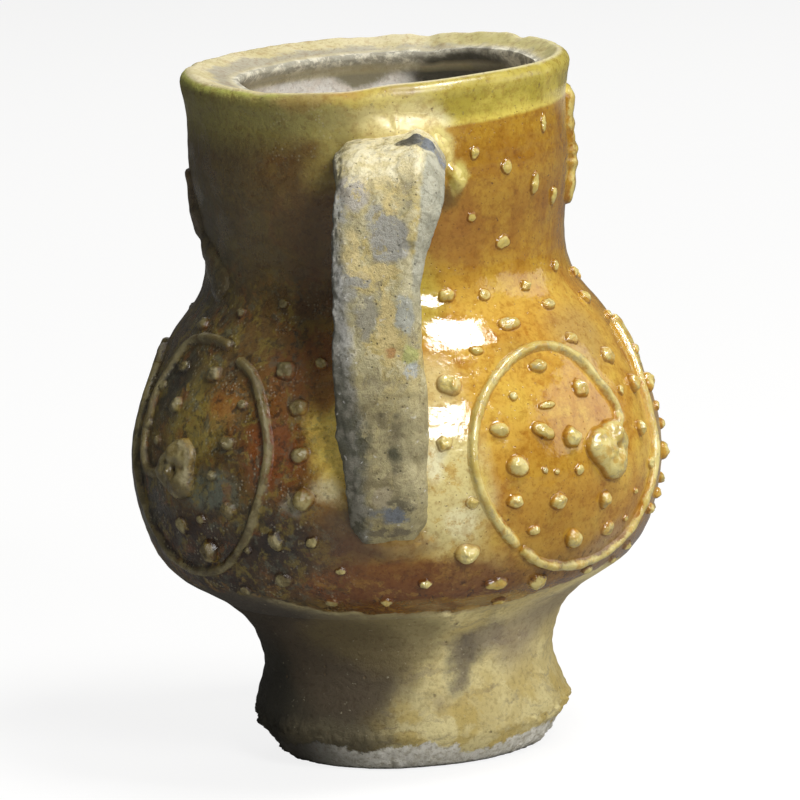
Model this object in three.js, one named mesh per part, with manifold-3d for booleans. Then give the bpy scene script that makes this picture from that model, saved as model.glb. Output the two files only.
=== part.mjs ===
// Glazed earthenware jug with a strap handle, applied scrolls, berries and clay pellets.
// Millimetres. The pot stands on z = 0 around the Z axis, and its handle points towards -Y.
// A place on the wall is an angle in degrees, counted from the handle towards +X, and a height.
import * as THREE from 'three';
import * as BufferGeometryUtils from 'three/addons/utils/BufferGeometryUtils.js';
import Module from 'manifold-3d';

// Heights of the thrown wall
const seamHeight = 38;
const bellyHeight = 70;
const shoulderHeight = 109;
const neckHeight = 119;
const collarHeight = 136;
const overallHeight = 160;

// Outer radii of the thrown wall
const baseRadius = 28.8;
const beadRadius = 36;
const waistRadius = 33.6;
const seamRadius = 43;
const bellyRadius = 61.6;
const shoulderRadius = 43.2;
const neckRadius = 41.5;
const collarRadius = 43.8;
const rimRadius = 44.9;

// Foot heights and inside
const beadHeight = 10;
const waistHeight = 21;
const floorThickness = 9;
const footWall = 6.6;

// Wall and mouth
const wallThickness = 5.4;
const seamWidth = 8.5;
const lipRound = 2.6;
const lipBevelWidth = 8.2;
const lipBevelDrop = 3.2;
const lipUndercut = 3;
const lipBand = 9;
const mouthShift = 2.8;

// Strap handle
const strapWidth = 20;
const strapRootWidth = 25;
const strapTailWidth = 15;
const strapThickness = 7.6;
const fingerGap = 22;
const handleTopHeight = 147;
const handleBendHeight = 137;
const handleTailHeight = 61;
const handleLean = 4.3;

// Applied clay
const seat = 0.3;
const scrollSize = 50;
const scrollLift = 3;
const stripWidth = 3.8;
const stripHeight = 1.9;
const berryRadius = 7.6;
const berryHeight = 4.2;
const berryLobe = 0.13;
const berryGap = 0.4;
const pelletSize = 5;
const pelletHeight = 0.42;
const neckStripWidth = 7.5;
const neckStripHeight = 2.4;

// Fineness of the facets
const turns = 56;
const wallStep = 4.6;
const stripStep = 4.4;
const handleRings = 30;
const pelletSides = 8;
const berrySides = 18;

const wasm = await Module();
wasm.setup();

const glaze = new THREE.MeshStandardMaterial({ color: 0xb8792c, roughness: 0.25, metalness: 0 });
const biscuit = new THREE.MeshStandardMaterial({ color: 0xb39a5f, roughness: 0.85, metalness: 0 });
const wornGlaze = new THREE.MeshStandardMaterial({ color: 0x8d8168, roughness: 0.7, metalness: 0 });
const slip = new THREE.MeshStandardMaterial({ color: 0xc9b465, roughness: 0.3, metalness: 0 });

const jug = new THREE.Group();

function addPiece(name, geometry, material) {
  const mesh = new THREE.Mesh(geometry, material);
  mesh.name = name;
  jug.add(mesh);
}

// Outer wall: heights and radii of the thrown outline, joined by a smooth curve
const footRise = seamHeight - waistHeight;
const bellyRise = bellyHeight - seamHeight;
const bellySpread = bellyRadius - seamRadius;
const shoulderRise = shoulderHeight - bellyHeight;
const shoulderDrop = bellyRadius - shoulderRadius;
const neckRise = neckHeight - shoulderHeight;
const collarRise = collarHeight - neckHeight;
const wallKnots = [
  [0, baseRadius],
  [0.3 * beadHeight, baseRadius + 0.45 * (beadRadius - baseRadius)],
  [beadHeight, beadRadius],
  [waistHeight, waistRadius],
  [waistHeight + 0.42 * footRise, waistRadius + 0.16 * (seamRadius - waistRadius)],
  [waistHeight + 0.7 * footRise, waistRadius + 0.42 * (seamRadius - waistRadius)],
  [seamHeight, seamRadius],
  [seamHeight + 0.22 * bellyRise, seamRadius + 0.575 * bellySpread],
  [seamHeight + 0.56 * bellyRise, seamRadius + 0.89 * bellySpread],
  [bellyHeight, bellyRadius],
  [bellyHeight + 0.41 * shoulderRise, bellyRadius - 0.21 * shoulderDrop],
  [bellyHeight + 0.74 * shoulderRise, bellyRadius - 0.6 * shoulderDrop],
  [shoulderHeight, shoulderRadius],
  [neckHeight, neckRadius],
  [collarHeight, collarRadius],
  [overallHeight - lipBand, collarRadius],
  [overallHeight - lipRound, rimRadius],
  [overallHeight, rimRadius],
];

function knotSlope(index) {
  const before = wallKnots[Math.max(index - 1, 0)];
  const after = wallKnots[Math.min(index + 1, wallKnots.length - 1)];
  return (after[1] - before[1]) / (after[0] - before[0]);
}

function wallRadius(height) {
  const z = THREE.MathUtils.clamp(height, 0, overallHeight);
  let index = 0;
  while (index < wallKnots.length - 2 && wallKnots[index + 1][0] < z) {
    index += 1;
  }
  const [z0, r0] = wallKnots[index];
  const [z1, r1] = wallKnots[index + 1];
  const span = z1 - z0;
  const t = (z - z0) / span;
  const ease = t * t * (3 - 2 * t);
  const bend = span * t * (1 - t) * (knotSlope(index) * (1 - t) - knotSlope(index + 1) * t);
  return r0 + (r1 - r0) * ease + bend;
}

function wallSlope(height) {
  const step = 0.5;
  return (wallRadius(height + step) - wallRadius(height - step)) / (2 * step);
}

// Radius and height of a point that lies off the wall by lift, outwards where it is positive
function offWall(height, lift) {
  const slope = wallSlope(height);
  const run = Math.hypot(1, slope);
  return new THREE.Vector2(wallRadius(height) + lift / run, height - (lift * slope) / run);
}

function aroundAxis(angle, radius, height) {
  const turn = THREE.MathUtils.degToRad(angle);
  return new THREE.Vector3(radius * Math.sin(turn), -radius * Math.cos(turn), height);
}

function onWall(angle, height, lift) {
  const place = offWall(height, lift);
  return aroundAxis(angle, place.x, place.y);
}

// A point beside a place on the wall: across it round the pot, along it up the wall, both in mm
function besideOnWall(angle, height, across, along, lift) {
  const turn = THREE.MathUtils.radToDeg(across / wallRadius(height));
  const rise = along / Math.hypot(1, wallSlope(height));
  return onWall(angle + turn, height + rise, lift);
}

function lathe(outline) {
  return new THREE.LatheGeometry(outline, turns).rotateX(Math.PI / 2);
}

function heightsBetween(low, high) {
  const steps = Math.max(2, Math.round((high - low) / wallStep));
  return Array.from({ length: steps + 1 }, (_, i) => low + ((high - low) * i) / steps);
}

// A closed skin over rings of points, capped at both ends and turned outwards
function skin(rings) {
  const sides = rings[0].length;
  const points = rings.flat();
  const faces = [];
  for (let ring = 0; ring < rings.length - 1; ring += 1) {
    for (let side = 0; side < sides; side += 1) {
      const next = (side + 1) % sides;
      const low = ring * sides;
      const high = low + sides;
      faces.push(low + side, low + next, high + next, low + side, high + next, high + side);
    }
  }
  for (const [first, ahead] of [[0, false], [(rings.length - 1) * sides, true]]) {
    const centre = new THREE.Vector3();
    for (let side = 0; side < sides; side += 1) {
      centre.addScaledVector(points[first + side], 1 / sides);
    }
    points.push(centre);
    for (let side = 0; side < sides; side += 1) {
      const here = first + side;
      const next = first + ((side + 1) % sides);
      faces.push(points.length - 1, ahead ? here : next, ahead ? next : here);
    }
  }
  const middle = points[0];
  let volume = 0;
  for (let i = 0; i < faces.length; i += 3) {
    const [a, b, c] = [0, 1, 2].map((k) => points[faces[i + k]].clone().sub(middle));
    volume += a.dot(b.cross(c));
  }
  if (volume < 0) {
    faces.reverse();
  }
  const geometry = new THREE.BufferGeometry();
  geometry.setAttribute('position', new THREE.Float32BufferAttribute(points.flatMap((p) => p.toArray()), 3));
  geometry.setIndex(faces);
  geometry.computeVertexNormals();
  return geometry;
}

function toSolid(geometry) {
  const bare = geometry.clone();
  bare.deleteAttribute('normal');
  bare.deleteAttribute('uv');
  const merged = BufferGeometryUtils.mergeVertices(bare, 0.001);
  return new wasm.Manifold(
    new wasm.Mesh({
      numProp: 3,
      vertProperties: new Float32Array(merged.attributes.position.array),
      triVerts: new Uint32Array(merged.index.array),
    }),
  );
}

function toGeometry(solid) {
  const mesh = solid.getMesh();
  const geometry = new THREE.BufferGeometry();
  geometry.setAttribute('position', new THREE.BufferAttribute(new Float32Array(mesh.vertProperties), 3));
  geometry.setIndex(new THREE.BufferAttribute(new Uint32Array(mesh.triVerts), 1));
  geometry.computeVertexNormals();
  return geometry;
}

// Foot: a separately thrown cup with a flat base, luted to the body at the seam
function foot() {
  const seamInside = seamRadius - seamWidth;
  const outside = heightsBetween(0, seamHeight).map((z) => new THREE.Vector2(wallRadius(z), z));
  const outline = [
    new THREE.Vector2(0, 0),
    ...outside,
    new THREE.Vector2(seamInside, seamHeight),
    new THREE.Vector2(0.5 * (seamInside + waistRadius - footWall), seamHeight - 0.4 * footRise),
    new THREE.Vector2(waistRadius - footWall, waistHeight),
    new THREE.Vector2(waistRadius - 1.15 * footWall, 1.55 * floorThickness),
    new THREE.Vector2(waistRadius - 1.9 * footWall, 1.1 * floorThickness),
    new THREE.Vector2(0, floorThickness),
  ];
  return lathe(outline);
}

// Body: belly and neck thrown in one, open at the seam and at the mouth
function body() {
  const crestRadius = rimRadius - lipRound;
  const ridgeRadius = crestRadius - lipBevelWidth;
  const ridgeHeight = overallHeight - lipBevelDrop;
  const outside = heightsBetween(seamHeight, overallHeight - lipRound);
  const inside = heightsBetween(seamHeight + 0.26 * bellyRise, collarHeight + 0.5 * lipBevelWidth).reverse();
  const outline = [
    ...outside.map((z) => new THREE.Vector2(wallRadius(z), z)),
    new THREE.Vector2(rimRadius - 0.3 * lipRound, overallHeight - 0.3 * lipRound),
    new THREE.Vector2(crestRadius, overallHeight),
    new THREE.Vector2(crestRadius - 0.25 * lipBevelWidth, overallHeight - 0.19 * lipBevelDrop),
    new THREE.Vector2(ridgeRadius + 0.15 * lipBevelWidth, ridgeHeight + 0.22 * lipBevelDrop),
    new THREE.Vector2(ridgeRadius, ridgeHeight - 0.25 * lipBevelDrop),
    new THREE.Vector2(ridgeRadius + 0.5 * lipUndercut, ridgeHeight - lipRound),
    new THREE.Vector2(ridgeRadius + lipUndercut, ridgeHeight - 2 * lipUndercut),
    ...inside.map((z) => offWall(z, -wallThickness)),
    new THREE.Vector2(seamRadius - seamWidth, seamHeight),
    new THREE.Vector2(seamRadius, seamHeight),
  ];
  const geometry = lathe(outline);
  const places = geometry.attributes.position;
  for (let i = 0; i < places.count; i += 1) {
    const reach = Math.hypot(places.getX(i), places.getY(i));
    const inward = THREE.MathUtils.clamp((crestRadius - reach) / lipBevelWidth, 0, 1);
    const upward = THREE.MathUtils.smoothstep(places.getZ(i), neckHeight, ridgeHeight);
    places.setX(i, places.getX(i) + mouthShift * inward * upward);
  }
  geometry.computeVertexNormals();
  return geometry;
}

// Handle: a pulled strap, bent from under the rim down to the belly, cut to the wall at both ends
function handle() {
  const reach = neckRadius + fingerGap + 0.5 * strapThickness;
  const drop = handleBendHeight - handleTailHeight;
  const joinHeight = handleTailHeight + 0.25 * drop;
  const smearHeight = handleTailHeight + 0.12 * drop;
  const path = new THREE.CatmullRomCurve3([
    new THREE.Vector3(handleLean, -collarRadius + 1.05 * strapThickness, handleTopHeight - 0.2 * strapThickness),
    new THREE.Vector3(handleLean, -collarRadius - 0.4 * strapThickness, handleTopHeight),
    new THREE.Vector3(handleLean, -reach + 1.25 * strapThickness, handleTopHeight - 0.16 * strapThickness),
    new THREE.Vector3(0.9 * handleLean, -reach + 0.33 * strapThickness, handleBendHeight + 0.013 * drop),
    new THREE.Vector3(0.2 * handleLean, -reach, handleBendHeight - 0.2 * drop),
    new THREE.Vector3(0, -reach + 0.05 * strapThickness, handleBendHeight - 0.52 * drop),
    new THREE.Vector3(0, -wallRadius(joinHeight) - 0.62 * strapThickness, joinHeight),
    new THREE.Vector3(0, -wallRadius(smearHeight) - 0.28 * strapThickness, smearHeight),
    new THREE.Vector3(0, -wallRadius(handleTailHeight) + 0.3 * strapThickness, handleTailHeight),
    new THREE.Vector3(0, -wallRadius(handleTailHeight) + 1.4 * strapThickness, handleTailHeight - 0.65 * strapThickness),
  ]);
  const widths = new THREE.SplineCurve([
    new THREE.Vector2(0, strapRootWidth),
    new THREE.Vector2(0.29, strapRootWidth),
    new THREE.Vector2(0.47, 0.975 * strapWidth),
    new THREE.Vector2(0.68, 1.05 * strapWidth),
    new THREE.Vector2(0.85, 0.5 * (strapWidth + strapTailWidth)),
    new THREE.Vector2(1, strapTailWidth),
  ]);
  const sideways = new THREE.Vector3(1, 0, 0);
  const rings = [];
  for (let i = 0; i <= handleRings; i += 1) {
    const part = i / handleRings;
    const centre = path.getPointAt(part);
    const outward = path.getTangentAt(part).cross(sideways).normalize();
    const halfWidth = 0.5 * widths.getPoint(part).y;
    const halfDepth = 0.5 * strapThickness;
    const ring = [];
    for (let side = 0; side < 12; side += 1) {
      const turn = (2 * Math.PI * (side + 0.5)) / 12;
      const across = Math.sign(Math.cos(turn)) * Math.abs(Math.cos(turn)) ** 0.6 * halfWidth;
      const depth = Math.sign(Math.sin(turn)) * Math.abs(Math.sin(turn)) ** 0.7 * halfDepth;
      ring.push(centre.clone().addScaledVector(sideways, across).addScaledVector(outward, depth));
    }
    rings.push(ring);
  }
  const envelope = [
    new THREE.Vector2(0, 0),
    ...heightsBetween(0, overallHeight).map((z) => new THREE.Vector2(wallRadius(z) + 2 * seat, z)),
    new THREE.Vector2(0, overallHeight),
  ];
  return toGeometry(toSolid(skin(rings)).subtract(toSolid(lathe(envelope))));
}

// A rolled strip laid along places on the wall, half round, thinned at both ends
function strip(places, width, height) {
  const path = new THREE.SplineCurve(places.map(([angle, z]) => new THREE.Vector2(angle, z)));
  const middle = wallRadius(places[Math.floor(places.length / 2)][1]);
  const degree = THREE.MathUtils.degToRad(1) * middle;
  const length = new THREE.SplineCurve(places.map(([angle, z]) => new THREE.Vector2(angle * degree, z))).getLength();
  const steps = Math.max(3, Math.round(length / stripStep));
  const section = [[-1, 0], [-0.86, 0.52], [-0.36, 1], [0.36, 1], [0.86, 0.52], [1, 0]];
  const rings = [];
  for (let i = 0; i <= steps; i += 1) {
    const centre = path.getPoint(i / steps);
    const ahead = path.getPoint(Math.min(1, (i + 0.3) / steps));
    const behind = path.getPoint(Math.max(0, (i - 0.3) / steps));
    const along = new THREE.Vector2((ahead.x - behind.x) * degree, ahead.y - behind.y).normalize();
    const thin = i === 0 || i === steps ? 0.55 : 1;
    rings.push(section.map(([across, lift]) => {
      const side = 0.5 * width * across * thin;
      return besideOnWall(centre.x, centre.y, side * along.y, -side * along.x, seat + height * lift * thin);
    }));
  }
  return skin(rings);
}

// A lens of clay pressed on the wall: long by wide, tilted by lean degrees
function pellet(angle, height, length, width, lean) {
  const turn = THREE.MathUtils.degToRad(lean);
  const rise = pelletHeight * width;
  const rings = [[1, 0], [0.92, 0.5], [0.6, 0.9], [0.2, 1]].map(([spread, lift]) => (
    Array.from({ length: pelletSides }, (_, side) => {
      const round = (2 * Math.PI * side) / pelletSides;
      const x = 0.5 * length * spread * Math.cos(round);
      const y = 0.5 * width * spread * Math.sin(round);
      const across = x * Math.cos(turn) - y * Math.sin(turn);
      const along = x * Math.sin(turn) + y * Math.cos(turn);
      return besideOnWall(angle, height, across, along, seat + rise * lift);
    })
  ));
  return skin(rings);
}

// A moulded berry of three lobes, pressed over the end of a scroll
function berry(angle, height, lean) {
  const phase = THREE.MathUtils.degToRad(lean);
  const rings = [[0.4, 0], [1, 0], [0.97, 0.45], [0.78, 0.85], [0.4, 1]].map(([spread, lift]) => (
    Array.from({ length: berrySides }, (_, side) => {
      const round = (2 * Math.PI * side) / berrySides;
      const lobe = berryRadius * spread * (1 - berryLobe + berryLobe * Math.cos(3 * round + phase));
      return besideOnWall(angle, height, lobe * Math.cos(round), lobe * Math.sin(round), seat + berryHeight * lift);
    })
  ));
  return skin(rings);
}

// A scroll: strips from its points, counted from its middle in degrees round the pot and in
// hundredths of a scroll's size up the wall, ended short of the berry; side -1 turns it over
function scroll(name, middle, height, side, form) {
  const place = ([angle, rise]) => [middle + side * angle, height + 0.01 * rise * scrollSize];
  const [berryAngle, berryMiddle] = place(form.berry);
  const clearOfBerry = ([angle, z]) => {
    const across = THREE.MathUtils.degToRad(angle - berryAngle) * wallRadius(z);
    return Math.hypot(across, z - berryMiddle) > berryRadius + 0.5 * stripWidth + berryGap;
  };
  const inner = form.inner.map(place).filter(clearOfBerry);
  addPiece(`${name}_outer_strip`, strip(form.outer.map(place), stripWidth, stripHeight), slip);
  addPiece(`${name}_inner_strip`, strip(inner, stripWidth, stripHeight), slip);
  addPiece(`${name}_berry`, berry(berryAngle, berryMiddle, side * form.berryLean), slip);
}

// Right scroll: down from the shoulder, round below, broken, up past the handle and over
const rightForm = {
  outer: [[41, 48], [36, 34], [31, 18], [28.5, -4], [25, -22], [18, -40], [8, -49], [-3, -50], [-12, -45.4], [-17, -39]],
  inner: [[-19.5, -34.4], [-24, -22], [-27.5, -6], [-28, 12], [-25, 29], [-19, 41.2], [-10, 49.2], [-1, 49.6],
    [6, 42.8], [10.5, 29], [13.2, 16.8]],
  berry: [6.5, 1],
  berryLean: -120,
};

// Left scroll: its break lies at the top, and its inner end runs down beside the outer strip
const leftForm = {
  outer: [[36, 42], [29.5, 35], [25.5, 20], [24.5, 4], [20, -14], [16, -32], [11, -46], [4, -50.8], [-4, -50.8],
    [-11, -46], [-16.5, -36], [-21, -22], [-24, -4], [-24.5, 10], [-22, 26], [-17, 39], [-11, 45.4]],
  inner: [[-6.5, 50], [1, 52], [10, 50.6], [16, 44], [18.6, 30], [18.8, 14], [17, -1], [13.5, -8]],
  berry: [1, -4],
  berryLean: -40,
};

const rightHeight = bellyHeight + scrollLift;
const leftHeight = rightHeight + scrollLift;
const rightMiddle = 47;
const leftMiddle = -51;
const frontMiddle = 137;

addPiece('body', body(), glaze);
addPiece('foot', foot(), biscuit);
addPiece('handle', handle(), wornGlaze);
scroll('right_scroll', rightMiddle, rightHeight, 1, rightForm);
scroll('left_scroll', leftMiddle, leftHeight, -1, leftForm);
scroll('front_right_scroll', frontMiddle, rightHeight, -1, rightForm);
scroll('front_left_scroll', -frontMiddle, rightHeight, 1, rightForm);

// Applied strips at the sides of the neck
addPiece('right_neck_strip', strip([[91, overallHeight - 1.1 * lipBand], [90, collarHeight + 0.35 * collarRise],
  [91, collarHeight - 0.12 * collarRise], [88, collarHeight - 0.6 * collarRise]], neckStripWidth, neckStripHeight), slip);
addPiece('left_neck_strip', strip([[-85, collarHeight + 0.06 * collarRise], [-85, collarHeight - 0.47 * collarRise],
  [-78, neckHeight + 0.2 * neckRise], [-68, neckHeight - 0.3 * neckRise], [-60, neckHeight - 0.7 * neckRise]],
neckStripWidth, neckStripHeight), glaze);

// Pellets of each group: angle from the group's middle, height from it in hundredths of a
// scroll's size, length and width in hundredths of a pellet's size, lean in degrees
const pelletGroups = [
  ['right_scroll_pellet', rightMiddle, rightHeight, [
    [-7, 42.2, 100, 68, 0], [3, 29.8, 104, 88, -30], [-21.2, 18.4, 100, 80, -10],
    [-11, 14.8, 120, 80, -35], [-3.8, 10, 112, 104, 0], [-18.6, 1.6, 120, 104, -30],
    [-9.2, -17.2, 100, 84, 10], [4.3, -21.6, 72, 92, 0], [-4, -36.4, 92, 104, 40],
  ]],
  ['right_side_pellet', 0, bellyHeight, [
    [66.5, 45.2, 108, 88, -20], [72, 30.2, 72, 96, 0], [84.8, 26, 80, 100, 0], [67.8, 10.8, 60, 76, 0],
    [89.3, -8, 92, 92, 0], [54.7, -30.4, 88, 76, 0],
  ]],
  ['right_of_handle_pellet', 0, bellyHeight, [
    [15.9, 45.4, 120, 100, -20], [12.8, 21.2, 76, 76, 0], [16.5, -30, 120, 100, 0],
    [24.2, -46.6, 128, 68, 5], [36.1, -49.2, 112, 92, -20],
  ]],
  ['shoulder_pellet', 0, bellyHeight, [
    [37.6, 67, 128, 76, -5], [55.5, 71.2, 92, 64, 0], [78, 68.4, 80, 80, 0], [-64, 68.6, 88, 72, 0],
  ]],
  ['neck_pellet', 0, bellyHeight, [
    [54.7, 127, 60, 108, -8], [67.8, 118.4, 60, 100, -8], [42.2, 102.4, 92, 64, 10],
  ]],
  ['left_of_handle_pellet', 0, bellyHeight, [
    [-25, 53.8, 112, 100, 0], [-20, 38.6, 100, 84, 0], [-18.8, 18.6, 100, 80, 0],
    [-17.9, -1.2, 120, 112, 0], [-25.5, -20.8, 76, 100, 10], [-25.8, -39.6, 96, 80, 20],
  ]],
  ['left_scroll_pellet', leftMiddle, leftHeight, [
    [4.4, 38.4, 92, 88, 0], [-6.2, 23.2, 96, 76, 60], [13.8, 10.6, 92, 76, 0],
    [14.3, -19.4, 92, 92, 0], [6.7, -40, 100, 120, 15], [-1.5, -30, 96, 80, -40],
    [-9.8, 38.8, 96, 60, 20],
  ]],
  ['front_pellet', 0, bellyHeight, [
    [180, 16, 100, 88, 0], [176, -16, 92, 80, 20], [184, 48, 100, 80, 0],
  ]],
];

for (const [group, middle, height, list] of pelletGroups) {
  list.forEach(([angle, rise, length, width, lean], index) => {
    const [long, wide] = [0.01 * length * pelletSize, 0.01 * width * pelletSize];
    const place = height + 0.01 * rise * scrollSize;
    addPiece(`${group}_${index + 1}`, pellet(middle + angle, place, long, wide, lean), slip);
  });
}

export default jug;
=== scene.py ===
import random
from math import acos, atan2, copysign, cos, degrees, exp, hypot, pi, radians, sin, sqrt

import bmesh
import bpy
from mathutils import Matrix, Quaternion, Vector
from mathutils.noise import noise


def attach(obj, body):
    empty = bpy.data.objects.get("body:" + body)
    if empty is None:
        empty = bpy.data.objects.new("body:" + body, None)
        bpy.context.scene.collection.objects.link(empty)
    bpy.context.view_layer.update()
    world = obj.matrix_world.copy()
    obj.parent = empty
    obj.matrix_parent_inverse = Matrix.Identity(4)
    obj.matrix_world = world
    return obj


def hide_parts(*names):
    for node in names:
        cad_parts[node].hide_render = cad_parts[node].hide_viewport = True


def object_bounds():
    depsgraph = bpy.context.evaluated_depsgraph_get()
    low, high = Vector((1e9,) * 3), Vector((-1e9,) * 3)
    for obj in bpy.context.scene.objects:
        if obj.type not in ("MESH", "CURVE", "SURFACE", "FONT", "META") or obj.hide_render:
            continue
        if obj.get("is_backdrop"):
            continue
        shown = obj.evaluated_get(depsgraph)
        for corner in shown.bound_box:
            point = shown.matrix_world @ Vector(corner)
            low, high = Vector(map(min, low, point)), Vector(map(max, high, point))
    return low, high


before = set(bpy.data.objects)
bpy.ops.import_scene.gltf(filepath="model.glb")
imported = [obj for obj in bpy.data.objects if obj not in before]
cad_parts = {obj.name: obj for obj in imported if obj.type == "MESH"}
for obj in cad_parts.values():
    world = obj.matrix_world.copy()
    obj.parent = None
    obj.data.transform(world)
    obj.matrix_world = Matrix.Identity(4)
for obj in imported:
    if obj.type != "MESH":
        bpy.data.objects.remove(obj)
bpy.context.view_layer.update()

# The foot: a flared cup of buff earthenware, thrown on its own and luted on under the belly.
# It was left without glaze. Its bead is ragged, its left side and front are painted dark as
# shade, and a grey crust sits on the worn edge that it stands on, with a painted contact shadow
# along its bottom.
MM = 0.001
seam_height = 38
overall_height = 160
wall_outline = [
    (0, 28.8), (3, 32.04), (10, 36), (21, 33.6), (28.14, 35.1), (32.9, 37.55), (38, 43),
    (45.04, 53.7), (55.92, 59.55), (70, 61.6), (85.99, 57.74), (98.86, 50.56), (109, 43.2),
    (119, 41.5), (136, 43.8), (151, 43.8), (157.4, 44.9), (160, 44.9),
]
foot_steps = 400
ring_spacing = 3.4
bead_height = 9.0
standing_height = 2.0
foot_inside = [(34.5, 38), (30.7, 31.2), (27, 21), (26, 14), (21.1, 9.9), (0, 9)]


def ease(low, high, value):
    part = min(max((value - low) / (high - low), 0), 1)
    return part * part * (3 - 2 * part)


def bell(off, width):
    """One where off is nought, fading to none over the width."""
    return exp(-((off / width) ** 2))


def bumps(x, y, z):
    return noise(Vector((x, y, z)))


def outline_slope(index):
    before = wall_outline[max(index - 1, 0)]
    after = wall_outline[min(index + 1, len(wall_outline) - 1)]
    return (after[1] - before[1]) / (after[0] - before[0])


def outline_radius(level):
    index = 0
    while index < len(wall_outline) - 2 and wall_outline[index + 1][0] < level:
        index += 1
    low, near = wall_outline[index]
    high, far = wall_outline[index + 1]
    span = high - low
    part = (level - low) / span
    slopes = outline_slope(index) * (1 - part) - outline_slope(index + 1) * part
    return near + (far - near) * part * part * (3 - 2 * part) + span * part * (1 - part) * slopes


wall_radii = [outline_radius(0.1 * rung) for rung in range(10 * overall_height + 1)]


def wall_radius(height):
    place = min(max(10 * height, 0), 10 * overall_height - 0.001)
    rung = int(place)
    return wall_radii[rung] + (wall_radii[rung + 1] - wall_radii[rung]) * (place - rung)


def wall_slope(height):
    return wall_radius(height + 0.5) - wall_radius(height - 0.5)


def hand_marks(angle, height):
    """How far the thrown wall stands off a true round, in millimetres."""
    turn = radians(angle)
    place = Vector((sin(turn) * 45, -cos(turn) * 45, height))
    oval = 0.3 * sin(2 * turn + 0.6) * ease(15, 60, height)
    lumps = 0.42 * noise(place / 19) + 0.14 * noise(place / 6.5 + Vector((9, 0, 0)))
    wave = bumps(sin(turn), -cos(turn), height / 25)
    spiral = sin(2 * pi * height / ring_spacing + turn + 5 * wave)
    rings = 0.07 * spiral * (1 - 0.6 * ease(45, 60, height))
    if height > 22:
        return oval + lumps + rings
    ragged = bell(height - bead_height, 2.6) + 0.9 * bell(height - standing_height, 2.0)
    ragged *= 0.5 + 0.9 * ease(30, 80, abs(angle))
    crumbs = abs(noise(place / 3.1)) + 0.55 * abs(noise(place / 1.3))
    crumbs += 0.3 * noise(place / 0.8)
    edge = ragged * (1.5 * crumbs + 0.5 * noise(place / 9 + Vector((0, 7, 0))) - 0.45)
    lump = 1.0 * exp(-(((angle - 84) / 7) ** 2) - ((height - 10.4) / 1.7) ** 2)
    return oval + lumps + rings + edge + lump


def on_wall(angle, height, lift=0.0):
    """The place on the outside at this angle from the handle and height, lifted off the wall."""
    turn = radians(angle)
    slope = wall_slope(height)
    run = hypot(1, slope)
    radius = wall_radius(height) + hand_marks(angle, height) + lift / run
    return Vector((radius * sin(turn), -radius * cos(turn), height - lift * slope / run)) * MM


def levels(low, high, step):
    count = max(2, round((high - low) / step))
    return [low + (high - low) * part / count for part in range(count + 1)]


def spun(outline, steps, closed):
    """The outline, radius and height in millimetres, turned a full round on the wheel's axis."""
    shape = bmesh.new()
    corners = [shape.verts.new((radius * MM, 0, height * MM)) for radius, height in outline]
    for near, far in zip(corners, corners[1:]):
        shape.edges.new((near, far))
    if closed:
        shape.edges.new((corners[-1], corners[0]))
    bmesh.ops.spin(
        shape, geom=shape.verts[:] + shape.edges[:], cent=(0, 0, 0), axis=(0, 0, 1),
        angle=2 * pi, steps=steps, use_merge=True,
    )
    on_axis = [point for point in shape.verts if hypot(point.co.x, point.co.y) < 0.00001]
    bmesh.ops.remove_doubles(shape, verts=on_axis, dist=0.00001)
    bmesh.ops.recalc_face_normals(shape, faces=shape.faces[:])
    return shape


def from_axis(place):
    """Radius and height in millimetres, and the angle from the handle."""
    return hypot(place.x, place.y) / MM, place.z / MM, degrees(atan2(place.x, -place.y))


def press_by_hand(shape, inside_above):
    """Moves a spun wall in or out by the potter's hand marks, its inside only above a height."""
    for point in shape.verts:
        radius, height, angle = from_axis(point.co)
        if radius < 1:
            continue
        outside = ease(-6, -1, radius - wall_radius(height))
        above = ease(inside_above - 2, inside_above + 4, height)
        share = outside + 0.5 * (1 - outside) * above
        push = hand_marks(angle, height) * share / radius
        point.co.x *= 1 + push
        point.co.y *= 1 + push


def make_piece(shape, name, finish, slot, *nodes):
    """Turns the shape into a piece on the pot's body, in place of the CAD nodes it dresses."""
    sharp_edge = radians(50)
    for face in shape.faces:
        face.smooth = True
    for edge in shape.edges:
        edge.smooth = edge.calc_face_angle(0) < sharp_edge
    mesh = bpy.data.meshes.new(name)
    shape.to_mesh(mesh)
    shape.free()
    mesh.materials.append(finish)
    piece = bpy.data.objects.new(name, mesh)
    bpy.context.scene.collection.objects.link(piece)
    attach(piece, "root")
    if nodes:
        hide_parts(*nodes)


def new_finish(name):
    """Starts a finish. The short calls below add to the one that was started last."""
    global tree
    finish = bpy.data.materials.new(name)
    finish.use_nodes = True
    tree = finish.node_tree
    tree.nodes.clear()
    return finish


def put(kind, *inputs, **settings):
    """Adds a node and fills its inputs in order."""
    made = tree.nodes.new("ShaderNode" + kind)
    for key, value in settings.items():
        setattr(made, key, value)
    for socket, value in zip(made.inputs, inputs):
        if isinstance(value, bpy.types.NodeSocket):
            tree.links.new(value, socket)
        elif value is not None:
            socket.default_value = value
    return made


def calc(work, *inputs):
    return put("Math", *inputs, operation=work).outputs[0]


def times(one, other):
    return calc("MULTIPLY", one, other)


def plus(one, other):
    return calc("ADD", one, other)


def minus(one, other):
    return calc("SUBTRACT", one, other)


def waver(noise_value, reach):
    """Noise centred on nought, which moves an edge both ways."""
    return times(minus(noise_value, 0.5), reach)


def clay_place():
    return put("TexCoord").outputs["Object"]


def stretch(place, scale):
    return put("VectorMath", place, scale, operation="MULTIPLY").outputs[0]


def mapped(value, low, high, out_low=0.0, out_high=1.0):
    """The value eased from low to high onto out_low to out_high."""
    made = put("MapRange", value, low, high, out_low, out_high, interpolation_type="SMOOTHSTEP")
    return made.outputs[0]


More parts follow.
